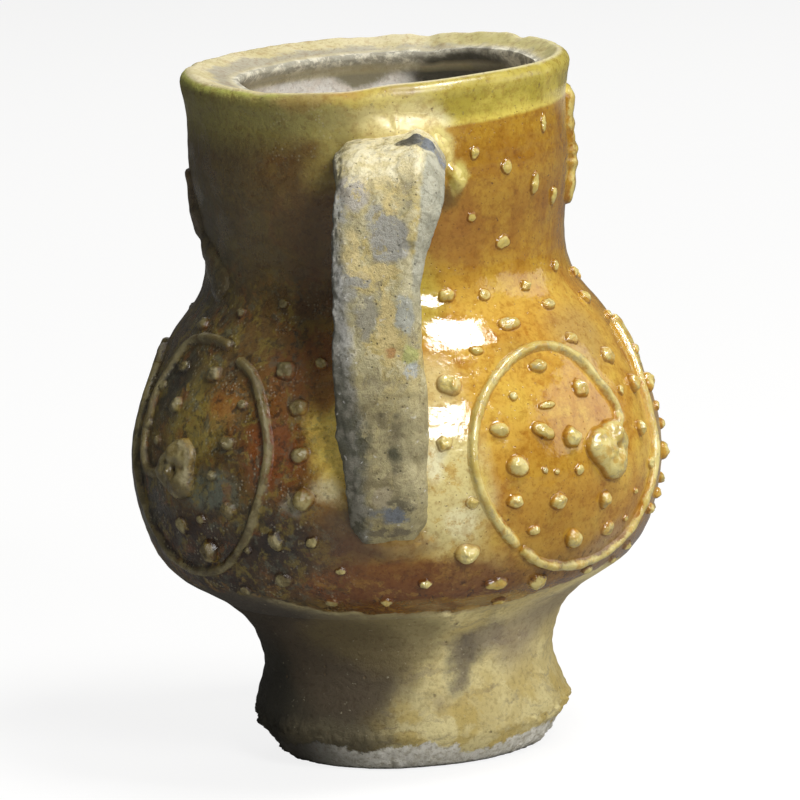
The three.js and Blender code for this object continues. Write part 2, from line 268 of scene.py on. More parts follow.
def paint(amount, under, over, way="MIX"):
    """Lays the colour over on the colour under, as strongly as amount says."""
    made = put("Mix", data_type="RGBA", blend_type=way)
    for socket, value in zip((made.inputs[0], made.inputs[6], made.inputs[7]), (amount, under, over)):
        if isinstance(value, bpy.types.NodeSocket):
            tree.links.new(value, socket)
        elif isinstance(value, tuple):
            socket.default_value = (*value, 1)
        else:
            socket.default_value = value
    return made.outputs[2]


def grain(place, size, detail=3.0, rough=0.5):
    """Soft noise whose lumps are about size millimetres across."""
    return put("TexNoise", place, None, 1 / (size * MM), detail, rough).outputs[0]


def specks(place, spacing, size, share):
    """Round specks: one in each cell of spacing millimetres, in a share of the cells."""
    cells = put("TexVoronoi", place, None, 1 / (spacing * MM))
    chosen = calc("LESS_THAN", put("SeparateColor", cells.outputs["Color"]).outputs[0], share)
    near = mapped(cells.outputs["Distance"], size / spacing, 0.35 * size / spacing)
    return times(chosen, near)


def ragged_place(reach, size):
    """Object coordinates pushed about by noise, so that a patch laid by them has a torn edge."""
    place = clay_place()
    push = put("TexNoise", place, None, 1 / (size * MM), 7.0, 0.68).outputs["Color"]
    centred = put("VectorMath", push, (0.5, 0.5, 0.5), operation="SUBTRACT").outputs[0]
    scaled = stretch(centred, (2 * reach * MM,) * 3)
    return put("VectorMath", place, scaled, operation="ADD").outputs[0]


def patch(place, centre, size, soft, tall=1.0):
    """One inside a round patch of size millimetres about centre, none outside it."""
    squash = (1, 1, 1 / tall)
    here = stretch(place, squash)
    there = tuple(side * part for side, part in zip(centre, squash))
    away = put("VectorMath", here, there, operation="DISTANCE").outputs["Value"]
    return mapped(away, (size + soft) * MM, (size - soft) * MM)


def lay_stains(colour, torn, stains):
    """Patches over the colour: angle, height, size, softness, tallness, shade and strength."""
    for angle, height, size, soft, tall, shade, strength in stains:
        cover = times(patch(torn, on_wall(angle, height), size, soft, tall), strength)
        colour = paint(cover, colour, shade)
    return colour


def coat(colour, rough, relief, deep):
    """Joins colour, roughness and relief to the surface of the finish."""
    bump = put("Bump", deep, 0.5 * MM)
    surface = put("BsdfPrincipled")
    tree.links.new(relief, bump.inputs["Height"])
    tree.links.new(colour, surface.inputs["Base Color"])
    tree.links.new(rough, surface.inputs["Roughness"])
    tree.links.new(bump.outputs[0], surface.inputs["Normal"])
    put("OutputMaterial", surface.outputs[0])
    return surface


def biscuit_layers():
    """Colour, roughness and relief of the bare fired clay."""
    place = clay_place()
    torn = ragged_place(7, 16)
    sides = put("SeparateXYZ", place).outputs
    level = sides[2]
    broad = grain(torn, 12, 5.0, 0.6)
    fine = grain(place, 1.1, 6.0, 0.7)
    colour = paint(mapped(broad, 0.38, 0.62), (0.66, 0.54, 0.235), (0.83, 0.72, 0.36))
    streaks = stretch(torn, (1, 1, 5))
    colour = paint(mapped(grain(streaks, 9, 5.0, 0.6), 0.52, 0.68, 0, 0.6), colour, (0.38, 0.31, 0.19))
    ochre = times(mapped(grain(torn, 8), 0.47, 0.58), mapped(level, 0.028, 0.01))
    colour = paint(times(ochre, 0.7), colour, (0.6, 0.44, 0.12))
    # painted shade: the first six patches darken the clay on the shaded left side and at the front
    colour = lay_stains(colour, torn, (
        (-66, 18, 36, 9, 1.4, (0.075, 0.063, 0.045), 0.95),
        (-78, 16, 22, 9, 1.6, (0.045, 0.042, 0.03), 0.9),
        (-58, 40, 26, 8, 0.5, (0.075, 0.058, 0.038), 0.9),
        (-24, 27, 16, 5, 0.9, (0.115, 0.088, 0.056), 0.9),
        (-8, 33, 17, 5, 0.5, (0.2, 0.155, 0.072), 0.78),
        (-28, 6, 14, 7, 0.4, (0.2, 0.17, 0.1), 0.7),
        (34, 31.5, 4.8, 2.6, 0.9, (0.24, 0.2, 0.155), 0.75),
        (25, 28, 3.6, 2.4, 1.2, (0.145, 0.12, 0.095), 0.85),
        (21.5, 22.5, 2.4, 2.0, 1.8, (0.18, 0.15, 0.11), 0.78),
        (14.5, 16.5, 1.8, 1.8, 1.3, (0.34, 0.27, 0.17), 0.6),
        (48, 31, 8, 5, 1.2, (0.34, 0.27, 0.19), 0.7),
        (66, 36, 10, 6, 0.7, (0.3, 0.24, 0.17), 0.7),
        (130, 24, 20, 9, 1.2, (0.24, 0.19, 0.13), 0.7),
        (-150, 20, 24, 10, 1.2, (0.18, 0.15, 0.1), 0.8),
    ))
    pits = specks(place, 3.1, 0.5, 0.28)
    colour = paint(times(pits, 0.6), colour, (0.2, 0.14, 0.07))
    flecks = specks(torn, 1.5, 0.3, 0.25)
    colour = paint(times(flecks, 0.5), colour, (0.66, 0.6, 0.42))
    crust_edge = plus(0.0004, times(grain(place, 9, 6.0, 0.68), 0.0115))
    crust_edge = minus(crust_edge, times(patch(place, on_wall(30, 2), 9, 8), 0.0024))
    crust = mapped(minus(level, crust_edge), 0.0005, -0.0004)
    pale = mapped(grain(place, 2.2, 5.0, 0.65), 0.4, 0.62)
    crust_shade = paint(pale, (0.76, 0.73, 0.63), (0.95, 0.92, 0.83))
    # painted shade: the crust is darker on the shaded left side
    painted_shade_left = mapped(sides[0], -0.008, -0.027)
    crust_shade = paint(painted_shade_left, crust_shade, (0.11, 0.1, 0.08))
    # painted contact shadow: the crust is darkest where it meets the floor
    painted_contact_shadow = mapped(plus(level, times(fine, 0.0012)), 0.0018, 0.0008)
    crust_shade = paint(painted_contact_shadow, crust_shade, (0.045, 0.04, 0.03))
    colour = paint(crust, colour, crust_shade)
    colour = paint(mapped(fine, 0.36, 0.52, 0.45, 0.0), colour, (0.54, 0.46, 0.34), "MULTIPLY")
    relief = plus(times(fine, 1.3), times(grain(streaks, 3.5), 0.9))
    relief = minus(relief, times(pits, 1.0))
    relief = plus(relief, times(crust, plus(1.2, times(grain(place, 1.6, 5.0, 0.7), 2.6))))
    rough = mapped(fine, 0.3, 0.7, 0.6, 0.85)
    return colour, rough, relief


biscuit = new_finish("bare_fired_clay")
clay_skin = coat(*biscuit_layers(), deep=0.7)
clay_skin.inputs["Specular IOR Level"].default_value = 0.3

foot_outline = [(0, 0), (14, 0), (24, 0), (27.5, 0)]
foot_outline += [(wall_radius(height), height) for height in levels(0.35, seam_height, 0.55)]
foot_outline += foot_inside
foot = spun(foot_outline, foot_steps, closed=False)
press_by_hand(foot, inside_above=200)
for point in foot.verts:
    point.co.z = max(point.co.z, 0)
make_piece(foot, "foot_thrown", biscuit, "biscuit", "foot")

# The body: belly and neck thrown in one piece of the same clay, with a lip bevelled inwards to
# a ridge. Its outside and its lip were brushed with lead glaze, which fired to a glossy amber.
# On the side that stands in shade the glaze is painted darker, partly as painted shade and partly
# as thicker, greener, weathered glaze.
wall_thickness = 5.4
inside_low = 46.3
inside_high = 140
lip_round = 2.6
lip_bevel_width = 8.2
lip_bevel_drop = 3.2
lip_undercut = 3
mouth_shift = 2.8
body_steps = 400
lip_dips = [
    (-180, 0.4), (-149, 0.5), (-122, 0.2), (-100, 0.6), (-80, 0.5), (-59, -0.3), (-26, -1.2),
    (-9, -1.1), (10, 0.1), (40, 0.5), (69, 0.4), (100, 0.5), (128, 1.2), (145, 1.1), (158, 0.7),
    (165, 0.0), (172, 0.6), (180, 0.4),
]
lip_chips = [(127, 3.2, 1.3), (150, 2.0, 0.7), (-35, 2.4, 0.5), (62, 1.6, 0.5), (-100, 2.6, 0.6)]


def between(rows, place):
    """The value at a place in a table of places and values, eased from row to row."""
    for (before, low), (after, high) in zip(rows, rows[1:]):
        if place <= after:
            return low + (high - low) * ease(before, after, place)
    return rows[-1][1]


def chip_depth(angle, radius, height):
    loss = 0
    for place, size, depth in lip_chips:
        across = radians(angle - place) * 44
        away = hypot(across, radius - 44.5)
        loss += depth * bell(away, size) * ease(154, 158, height)
    return loss


crest = wall_outline[-1][1] - lip_round
ridge = crest - lip_bevel_width
ridge_height = overall_height - lip_bevel_drop
lip_level = overall_height - lip_round
wall_levels = levels(seam_height, lip_level, 0.95)
body_outline = [(wall_radius(height), height) for height in wall_levels]
for part in range(1, 6):
    turn = radians(18 * part)
    body_outline.append((crest + lip_round * cos(turn), lip_level + lip_round * sin(turn)))
for part in levels(0.08, 0.9, 0.09):
    height = overall_height - lip_bevel_drop * part ** 1.3 - 0.35 * sin(pi * part)
    body_outline.append((crest - lip_bevel_width * part, height))
body_outline += [(ridge + out, ridge_height + up) for out, up in (
    (0.25, 0.25), (0, -0.35), (0.1, -1.1), (0.7, -2.0), (1.6, -3.2), (2.5, -4.8),
    (lip_undercut + 0.3, -7),
)]
for height in reversed(levels(inside_low, inside_high, 2.2)):
    slope = wall_slope(height)
    run = hypot(1, slope)
    radius = wall_radius(height) - wall_thickness / run
    body_outline.append((radius, height + wall_thickness * slope / run))
body_outline += [(42, 43.4), (34.5, 38)]

body = spun(body_outline, body_steps, closed=True)
press_by_hand(body, inside_above=40)
for point in body.verts:
    radius, height, angle = from_axis(point.co)
    inward = min(max((crest - radius) / lip_bevel_width, 0), 1)
    point.co.x += mouth_shift * MM * inward * ease(119, ridge_height, height)
    here = Vector(point.co)
    worn = 0.5 * noise(here / (2.4 * MM)) + 0.5 * noise(here / (7 * MM))
    on_ridge = bell(radius - ridge, 1.6) * ease(151, 155, height)
    on_far_lip = ease(156, 159, height) * ease(75, 110, abs(angle))
    lift = between(lip_dips, angle) * ease(148, 158, height) - chip_depth(angle, radius, height)
    lift += 0.28 * worn * on_ridge + 0.4 * worn * on_far_lip
    point.co.z += lift * MM

inside_mark = body.verts.layers.float.new("inside")
for point in body.verts:
    height = point.co.z / MM
    shift = mouth_shift * MM * ease(119, 156, height)
    radius = hypot(point.co.x - shift, point.co.y) / MM
    if height > 153:
        point[inside_mark] = ease(ridge + 2.6, ridge + 0.6, radius) if radius < crest else 0
    else:
        point[inside_mark] = ease(-2.0, -3.6, radius - wall_radius(height))

glaze = new_finish("lead_glaze_on_clay")
place = clay_place()
torn = ragged_place(5, 14)
sides = put("SeparateXYZ", place).outputs
level = sides[2]
reach = calc("SQRT", plus(times(sides[0], sides[0]), times(sides[1], sides[1])))
to_right = calc("DIVIDE", sides[0], reach)
to_handle = calc("DIVIDE", times(sides[1], -1.0), reach)
slip_mark = put("Attribute", attribute_name="slip").outputs["Fac"]
pool_and_shade_mark = put("Attribute", attribute_name="glaze_pool_and_shade").outputs["Fac"]
inside = put("Attribute", attribute_name="inside").outputs["Fac"]

broad = grain(torn, 22, 5.0, 0.6)
middling = grain(place, 5.5, 4.0, 0.55)
clouds = grain(torn, 9, 6.0, 0.68)
mottle = grain(place, 2.3, 6.0, 0.72)
fine = grain(place, 1.0, 5.0, 0.68)
colour = paint(mapped(broad, 0.4, 0.6), (0.46, 0.23, 0.027), (0.57, 0.34, 0.052))
colour = paint(mapped(clouds, 0.5, 0.64, 0, 0.75), colour, (0.6, 0.39, 0.06))
colour = paint(mapped(clouds, 0.46, 0.34, 0, 0.6), colour, (0.34, 0.125, 0.008))

# the neck is a deeper amber brown, and so is the belly's underside
neck = mapped(level, 0.106, 0.12)
neck_shade = paint(mapped(clouds, 0.42, 0.6), (0.27, 0.118, 0.008), (0.35, 0.185, 0.014))
colour = paint(times(neck, 0.85), colour, neck_shade)
low_belly = mapped(level, 0.057, 0.046)
low_shade = paint(mapped(clouds, 0.42, 0.6), (0.125, 0.045, 0.006), (0.24, 0.105, 0.015))
colour = paint(times(low_belly, 0.85), colour, low_shade)

# the shaded side is painted darker brown and olive, partly as painted shade and partly as the
# glaze's own tone, with dark and grey-green weathered patches
painted_shade_side = mapped(plus(to_right, waver(clouds, 0.5)), 0.02, -0.5)
olive = mapped(grain(torn, 13, 6.0, 0.65), 0.42, 0.58)
brown = paint(olive, (0.085, 0.04, 0.008), (0.12, 0.085, 0.018))
colour = paint(times(painted_shade_side, 0.95), colour, brown)
colour = lay_stains(colour, torn, (
    (14, 70, 9, 3, 2.0, (0.66, 0.57, 0.25), 0.95),
    (12, 92, 6, 3, 1.6, (0.62, 0.5, 0.22), 0.8),
    (16, 62, 3.5, 1.5, 1.2, (0.78, 0.72, 0.42), 0.8),
    (10, 78, 2.6, 1.5, 1.5, (0.8, 0.76, 0.5), 0.8),
    (20, 72, 2.4, 1.2, 1.8, (0.58, 0.42, 0.08), 0.7),
    (14, 54, 3.0, 1.5, 0.7, (0.52, 0.36, 0.08), 0.7),
    (19, 50, 7, 4, 0.9, (0.5, 0.36, 0.12), 0.7),
    (60, 98, 9, 5, 0.9, (0.38, 0.25, 0.085), 0.6),
    (36, 98, 5, 3, 0.7, (0.42, 0.27, 0.05), 0.5),
    (38, 66, 13, 7, 1.2, (0.38, 0.19, 0.012), 0.6),
    (9, 130, 4, 2.5, 2.6, (0.45, 0.37, 0.05), 0.8),
    (12, 110, 5, 3, 2.0, (0.46, 0.37, 0.06), 0.75),
    (22, 126, 7, 4, 0.8, (0.3, 0.12, 0.018), 0.5),
    # painted light: a bright ochre patch left of the handle stands in for light that reaches past it
    (-10.5, 87, 7.4, 2.0, 2.6, (1.0, 0.76, 0.16), 1.0),
    (-9, 62, 7, 3, 0.9, (0.1, 0.062, 0.03), 0.9),
    (-13, 71, 3.2, 1.6, 0.9, (0.7, 0.62, 0.36), 0.75),
    (-13, 92, 2.4, 1.2, 2.0, (0.46, 0.2, 0.03), 0.7),
    (-26, 149, 5, 3, 0.7, (0.28, 0.17, 0.03), 0.8),
    (-19, 97, 12, 5, 0.8, (0.3, 0.115, 0.022), 0.85),
    (-25, 80, 8, 4, 1.2, (0.25, 0.072, 0.012), 0.88),
    # painted shadow: the next two dark patches are the handle's shadow on the neck, left of it
    (-14, 118, 9, 5, 1.2, (0.1, 0.055, 0.02), 0.8),
    (-24, 134, 15, 7, 1.2, (0.15, 0.085, 0.022), 0.85),
    # painted shade: a dark patch on the shaded left of the neck
    (-55, 130, 18, 8, 1.3, (0.125, 0.092, 0.03), 0.75),
    (-12, 142, 7, 4, 0.7, (0.32, 0.25, 0.06), 0.7),
    (2, 58.5, 9, 3, 0.45, (0.24, 0.165, 0.065), 0.8),
    (-25, 58, 11, 5, 0.8, (0.035, 0.02, 0.013), 0.9),
    (-9, 56, 8, 4, 0.7, (0.1, 0.045, 0.02), 0.8),
    (-20, 68, 3, 1.5, 0.8, (0.45, 0.45, 0.36), 0.6),
    (-42, 70, 8, 3, 0.55, (0.15, 0.175, 0.13), 0.85),
    (-50, 86, 12, 4, 0.9, (0.42, 0.33, 0.065), 0.65),
    (-40, 90, 5, 3, 1.2, (0.42, 0.17, 0.03), 0.7),
    # painted shade: the dark patches from here to (-80, 80) darken the shaded left side
    (-44, 96, 7, 4, 0.9, (0.11, 0.06, 0.02), 0.7),
    (-63, 92, 9, 4, 1.0, (0.045, 0.042, 0.026), 0.85),
    (-70, 62, 14, 6, 0.8, (0.05, 0.046, 0.034), 0.85),
    (-50, 54, 18, 6, 0.58, (0.045, 0.021, 0.009), 0.93),
    (-72, 118, 14, 7, 1.3, (0.095, 0.075, 0.03), 0.85),
    (-80, 80, 12, 6, 1.6, (0.07, 0.06, 0.032), 0.8),
    (-34, 104, 8, 4, 0.6, (0.18, 0.1, 0.02), 0.7),
    (3, 47, 24, 5, 0.32, (0.17, 0.055, 0.012), 0.85),
    (62, 49, 14, 6, 0.45, (0.36, 0.25, 0.14), 0.6),
    (150, 90, 24, 9, 1.0, (0.48, 0.36, 0.1), 0.7),
    (-150, 75, 22, 9, 1.0, (0.3, 0.17, 0.05), 0.7),
    (-120, 110, 18, 9, 1.3, (0.22, 0.16, 0.05), 0.6),
))
on_belly = minus(1.0, times(neck, 0.75))
for size, low_end, high_end, shade, strength in (
    (6.5, 0.52, 0.62, (0.26, 0.09, 0.012), 0.6),
    (4.5, 0.52, 0.6, (0.27, 0.205, 0.03), 0.65),
    (3.0, 0.53, 0.62, (0.125, 0.135, 0.09), 0.6),
    (1.9, 0.52, 0.6, (0.02, 0.016, 0.008), 0.65),
):
    flecked = mapped(grain(torn, size, 6.0, 0.7), low_end, high_end, 0, strength)
    flecked = times(flecked, on_belly)
    colour = paint(times(flecked, painted_shade_side), colour, shade)
cream_zone = patch(torn, on_wall(14, 68), 10, 3, 2.0)
crackle = mapped(grain(torn, 2.6, 6.0, 0.72), 0.53, 0.61, 0, 0.6)
colour = paint(times(crackle, cream_zone), colour, (0.52, 0.32, 0.06))
low_flecks = mapped(grain(torn, 3.4, 6.0, 0.7), 0.52, 0.64, 0, 0.7)
colour = paint(times(low_flecks, low_belly), colour, (0.36, 0.2, 0.035))
dark_flecks = mapped(grain(torn, 2.1, 6.0, 0.7), 0.54, 0.64, 0, 0.75)
colour = paint(times(dark_flecks, low_belly), colour, (0.045, 0.02, 0.008))

# the rim's band is yellow-green, and cream where it is rubbed on the bevel and by the handle
band_edge = plus(0.1478, plus(times(to_right, 0.0018), times(grain(place, 16, 5.0, 0.6), 0.0018)))
from_edge = minus(level, band_edge)
fading = mapped(to_right, -0.2, -0.5)
band = mapped(from_edge, plus(times(fading, -0.0045), -0.0005), plus(times(fading, 0.0045), 0.0006))
band_shade = paint(mapped(clouds, 0.4, 0.6), (0.38, 0.3, 0.03), (0.52, 0.42, 0.065))
band_shade = paint(mapped(from_edge, 0.0028, 0.0004, 0, 0.8), band_shade, (0.66, 0.53, 0.1))
band_shade = paint(mapped(level, 0.1555, 0.1585, 0, 0.5), band_shade, (0.4, 0.33, 0.07))
# painted shade, partly the glaze's own tone: the band is darker on the shaded left side
band_shade = paint(mapped(to_right, -0.12, -0.42), band_shade, (0.26, 0.225, 0.05))
left_crest = times(mapped(level, 0.1572, 0.1588), mapped(to_right, -0.1, -0.4))
band_shade = paint(left_crest, band_shade, (0.42, 0.42, 0.08))
band_shade = lay_stains(band_shade, torn, (
    (8, 151.5, 11, 4, 0.55, (0.7, 0.62, 0.28), 0.95),
    (17, 150, 6, 3, 0.6, (0.78, 0.72, 0.42), 0.9),
    (-4, 150.5, 8, 4, 0.7, (0.55, 0.47, 0.2), 0.85),
    (-16, 152, 8, 4, 0.9, (0.36, 0.31, 0.09), 0.7),
    (0, 157.5, 9, 4, 0.25, (0.6, 0.48, 0.1), 0.7),
    (-18, 157.5, 8, 3, 0.3, (0.34, 0.23, 0.06), 0.7),
    (-6, 158.5, 4, 2, 0.4, (0.42, 0.22, 0.05), 0.6),
    (10, 159, 5, 2, 0.3, (0.33, 0.21, 0.06), 0.5),
))
pits = times(specks(torn, 2.4, 0.55, 0.5), 0.6)
band_shade = paint(pits, band_shade, (0.22, 0.17, 0.05))
colour = paint(band, colour, band_shade)
colour = lay_stains(colour, torn, (
    (8, 147.5, 11, 2.5, 0.62, (0.7, 0.6, 0.26), 0.95),
    (20, 144.5, 3.4, 1.2, 1.5, (0.68, 0.58, 0.2), 0.9),
    # painted shade: a dark patch under the drip beside the handle's top
    (20, 133.0, 3.6, 2.2, 0.9, (0.055, 0.03, 0.006), 0.75),
    (25, 137.3, 2.1, 0.8, 1.9, (0.6, 0.52, 0.15), 0.9),
    (-9, 147.5, 6, 2.5, 0.6, (0.42, 0.35, 0.1), 0.8),
))
on_bevel = times(mapped(reach, 0.0438, 0.0428), mapped(level, 0.15, 0.154))
bevel_shade = paint(mapped(clouds, 0.42, 0.6), (0.6, 0.53, 0.3), (0.54, 0.47, 0.24))
bevel_shade = paint(mapped(to_right, 0.1, 0.6), bevel_shade, (0.5, 0.44, 0.17))
by_ridge = mapped(plus(reach, waver(clouds, 0.01)), 0.0388, 0.0368, 0, 0.85)
bevel_shade = paint(by_ridge, bevel_shade, (0.34, 0.31, 0.23))
colour = paint(on_bevel, colour, bevel_shade)

# iron specks lie in drifts, and the shaded side has small dull glints painted into its colour
drifts = mapped(clouds, 0.4, 0.62, 0.25, 0.85)
for angle, height, size in ((23, 122.5, 5), (19, 113.5, 4), (30, 141, 5), (41, 60, 8)):
    drifts = plus(drifts, patch(torn, on_wall(angle, height), size, 3))
iron = specks(place, 1.25, 0.24, drifts)
colour = paint(times(iron, 0.6), colour, (0.13, 0.045, 0.012))
spots = specks(torn, 4.2, 0.42, 0.4)
colour = paint(times(spots, 0.75), colour, (0.09, 0.03, 0.012))
colour = paint(mapped(mottle, 0.36, 0.52, 0.5, 0.0), colour, (0.62, 0.46, 0.3), "MULTIPLY")
colour = paint(mapped(fine, 0.36, 0.5, 0.5, 0.0), colour, (0.66, 0.56, 0.46), "MULTIPLY")

left_side = calc("MAXIMUM", painted_shade_side, times(band, mapped(to_right, 0.05, -0.25)))
by_rim = times(patch(torn, on_wall(-18, 148), 10, 5, 0.8), left_side)
below_neck = times(painted_shade_side, minus(1.0, neck))
glinting = times(calc("MAXIMUM", by_rim, below_neck), mapped(grain(torn, 7, 3.0), 0.46, 0.58))
painted_sparkle = times(specks(place, 0.75, 0.36, 0.4), glinting)
colour = paint(times(painted_sparkle, 0.3), colour, (0.66, 0.62, 0.46))

# the pale clay of the strips, berries and pellets shows through on their tops
slip_clay = paint(mapped(clouds, 0.38, 0.6), (0.49, 0.36, 0.085), (0.64, 0.545, 0.21))
dust = mapped(grain(place, 2.0, 5.0, 0.65), 0.53, 0.62, 0, 0.7)
slip_clay = paint(dust, slip_clay, (0.36, 0.3, 0.15))
amber = mapped(grain(place, 3.4, 5.0, 0.65), 0.52, 0.62, 0, 0.65)
slip_clay = paint(amber, slip_clay, (0.5, 0.29, 0.045))
slip_clay = paint(times(neck, 0.5), slip_clay, (0.52, 0.41, 0.09))
# painted shade: slip_shaded is a darker copy of the slip clay, laid on the shaded side
greyed = mapped(grain(torn, 4, 5.0, 0.6), 0.42, 0.58)
slip_shaded = paint(greyed, (0.1, 0.075, 0.025), (0.22, 0.185, 0.085))
slip_clay = paint(times(painted_shade_side, 0.92), slip_clay, slip_shaded)
bare_top = plus(slip_mark, waver(mottle, 2.3))
slip_seen = times(mapped(bare_top, 0.3, 0.85), 0.95)
colour = paint(slip_seen, colour, slip_clay)
# glaze pooled along the feet of the clay, darkened also as painted shade in the crease there
colour = paint(times(pool_and_shade_mark, 0.55), colour, (0.52, 0.38, 0.22), "MULTIPLY")

# the clay is bare below the glaze's edge and inside the mouth
bare_colour, bare_rough, bare_relief = biscuit_layers()
facing = plus(times(to_right, 0.208), times(to_handle, 0.978))
edge_rise = calc("MINIMUM", times(minus(1.0, facing), 0.018), 0.006)
glaze_edge = plus(plus(edge_rise, 0.0377), times(broad, 0.0026))
glazed = mapped(plus(minus(level, glaze_edge), waver(middling, 0.005)), -0.0007, 0.0007)
bare_inside = paint(mapped(clouds, 0.4, 0.6), (0.9, 0.82, 0.72), (0.98, 0.95, 0.88))
bare_inside = paint(mapped(fine, 0.35, 0.5, 0.35, 0), bare_inside, (0.36, 0.27, 0.19))
ridge_patches = grain(torn, 3.4, 6.0, 0.72)
ridge_shade = paint(mapped(ridge_patches, 0.45, 0.58), (0.24, 0.22, 0.14), (0.66, 0.62, 0.46))
bare_inside = paint(mapped(level, 0.1512, 0.1534, 0, 0.85), bare_inside, ridge_shade)
for x, y, z, size, soft, tall, shade in (
    # painted shade with a stain on it: the first patch darkens the inner wall under the far right of
    # the ridge
    (0.022, 0.034, 0.1515, 17, 4, 0.42, (0.045, 0.04, 0.022)),
    (-0.006, 0.04, 0.153, 9, 3, 0.3, (0.3, 0.27, 0.17)),
    (0.034, 0.016, 0.138, 14, 8, 0.8, (0.34, 0.26, 0.17)),
    (0.013, 0.036, 0.1552, 1.6, 0.8, 1.0, (0.6, 0.16, 0.02)),
    (-0.0235, 0.033, 0.1545, 0.8, 0.3, 1.0, (0.01, 0.008, 0.006)),
):
    bare_inside = paint(patch(torn, Vector((x, y, z)), size, soft, tall), bare_inside, shade)
covered = times(glazed, minus(1.0, inside))
bare_all = paint(inside, bare_colour, bare_inside)
colour = paint(covered, bare_all, colour)

weathered = times(painted_shade_side, mapped(grain(torn, 9), 0.4, 0.56, 0.45, 1))
gloss = mapped(mottle, 0.42, 0.62, 0.05, 0.16)
gloss = plus(gloss, times(weathered, 0.42))
gloss = plus(gloss, times(on_bevel, 0.25))
gloss = plus(gloss, mapped(level, 0.1545, 0.1575, 0, 0.22))
gloss = plus(gloss, times(patch(torn, on_wall(10, 149), 15, 4, 0.6), 0.26))
gloss = plus(gloss, times(dust, times(slip_mark, 0.06)))
rough = put("Mix", covered, None, bare_rough, gloss).outputs[0]
ripple = plus(times(middling, 1.0), times(mottle, 0.1))
ripple = minus(ripple, times(plus(iron, spots), 0.22))
ripple = plus(ripple, times(weathered, times(fine, 1.6)))
ripple = plus(ripple, times(slip_seen, times(mottle, 0.4)))
relief = put("Mix", covered, None, bare_relief, ripple).outputs[0]

glaze_skin = coat(colour, rough, relief, deep=0.5)
glaze_skin.inputs["IOR"].default_value = 1.7
glaze_skin.inputs["Specular IOR Level"].default_value = 0.5

make_piece(body, "body_thrown", glaze, "glaze", "body")

# The handle: a strap pulled from a wet lump, bent by hand from under the rim down to the belly
# and smeared on at both ends. Most of its glaze has worn off, which leaves grey and ochre clay,
# and a crescent has broken out of its top.
strap_thickness = 7.6
strap_rings = 260
strap_sides = 96
lean = 4.3
bend_height = 137
tail_height = 61
top_height = 147
finger_gap = 22
strap_reach = 41.5 + finger_gap + 0.5 * strap_thickness
drop = bend_height - tail_height
strap_path = [
    (lean, -43.8 + 7.98, top_height - 1.52),
    (lean, -43.8 - 3.04, top_height),
    (lean, -strap_reach + 9.5, top_height - 1.2),
    (0.9 * lean, -strap_reach + 2.5, bend_height + 1),
    (0.2 * lean, -strap_reach, bend_height - 0.2 * drop),
    (0, -strap_reach + 0.4, bend_height - 0.52 * drop),
    (0, -wall_radius(tail_height + 19) - 4.7, tail_height + 19),
    (0, -wall_radius(tail_height + 9) - 2.1, tail_height + 9),
    (-0.2, -wall_radius(tail_height) + 2.3, tail_height + 1),
    (-0.6, -wall_radius(tail_height) + 10.6, tail_height - 3.5),
]
strap_widths = [(0, 25), (0.29, 25), (0.47, 19.5), (0.68, 21), (0.82, 18.5), (0.91, 17.4), (1, 15.5)]


def curve_through(points, part):
    """A place on the smooth curve through the points, and the direction there."""
    place = min(max(part, 0), 0.99999) * (len(points) - 1)
    index = int(place)
    t = place - index
    last = len(points) - 1
    before, here, after, beyond = (
        Vector(points[min(max(index + k, 0), last)]) for k in (-1, 0, 1, 2)
    )
    bend = 2 * before - 5 * here + 4 * after - beyond
    twist = 3 * here - before - 3 * after + beyond
    spot = 0.5 * (2 * here + (after - before) * t + bend * t * t + twist * t * t * t)
    ahead = 0.5 * ((after - before) + 2 * bend * t + 3 * twist * t * t)
    return spot, ahead.normalized()


def even_places(points, count):
    """Parts along the curve that lie the same distance apart."""
    fine_parts = [k / 600 for k in range(601)]
    spots = [curve_through(points, part)[0] for part in fine_parts]
    lengths = [0.0]
    for near, far in zip(spots, spots[1:]):
        lengths.append(lengths[-1] + (far - near).length)
    parts = []
    index = 0
    for k in range(count + 1):
        goal = lengths[-1] * k / count
        while index < 599 and lengths[index + 1] < goal:
            index += 1
        step = lengths[index + 1] - lengths[index]
        parts.append((index + (goal - lengths[index]) / step) / 600)
    return parts


def rolled(sides, rings):
    """A capped tube of unit radius along z from 0 to 1, cut into rings, to be bent into shape."""
    shape = bmesh.new()
    bmesh.ops.create_cone(
        shape, cap_ends=True, cap_tris=False, segments=sides, radius1=1, radius2=1, depth=1,
    )
    along = [edge for edge in shape.edges if abs(edge.verts[0].co.z - edge.verts[1].co.z) > 0.5]
    bmesh.ops.subdivide_edges(shape, edges=along, cuts=rings - 1, use_grid_fill=True)
    bmesh.ops.translate(shape, verts=shape.verts[:], vec=(0, 0, 0.5))
    return shape


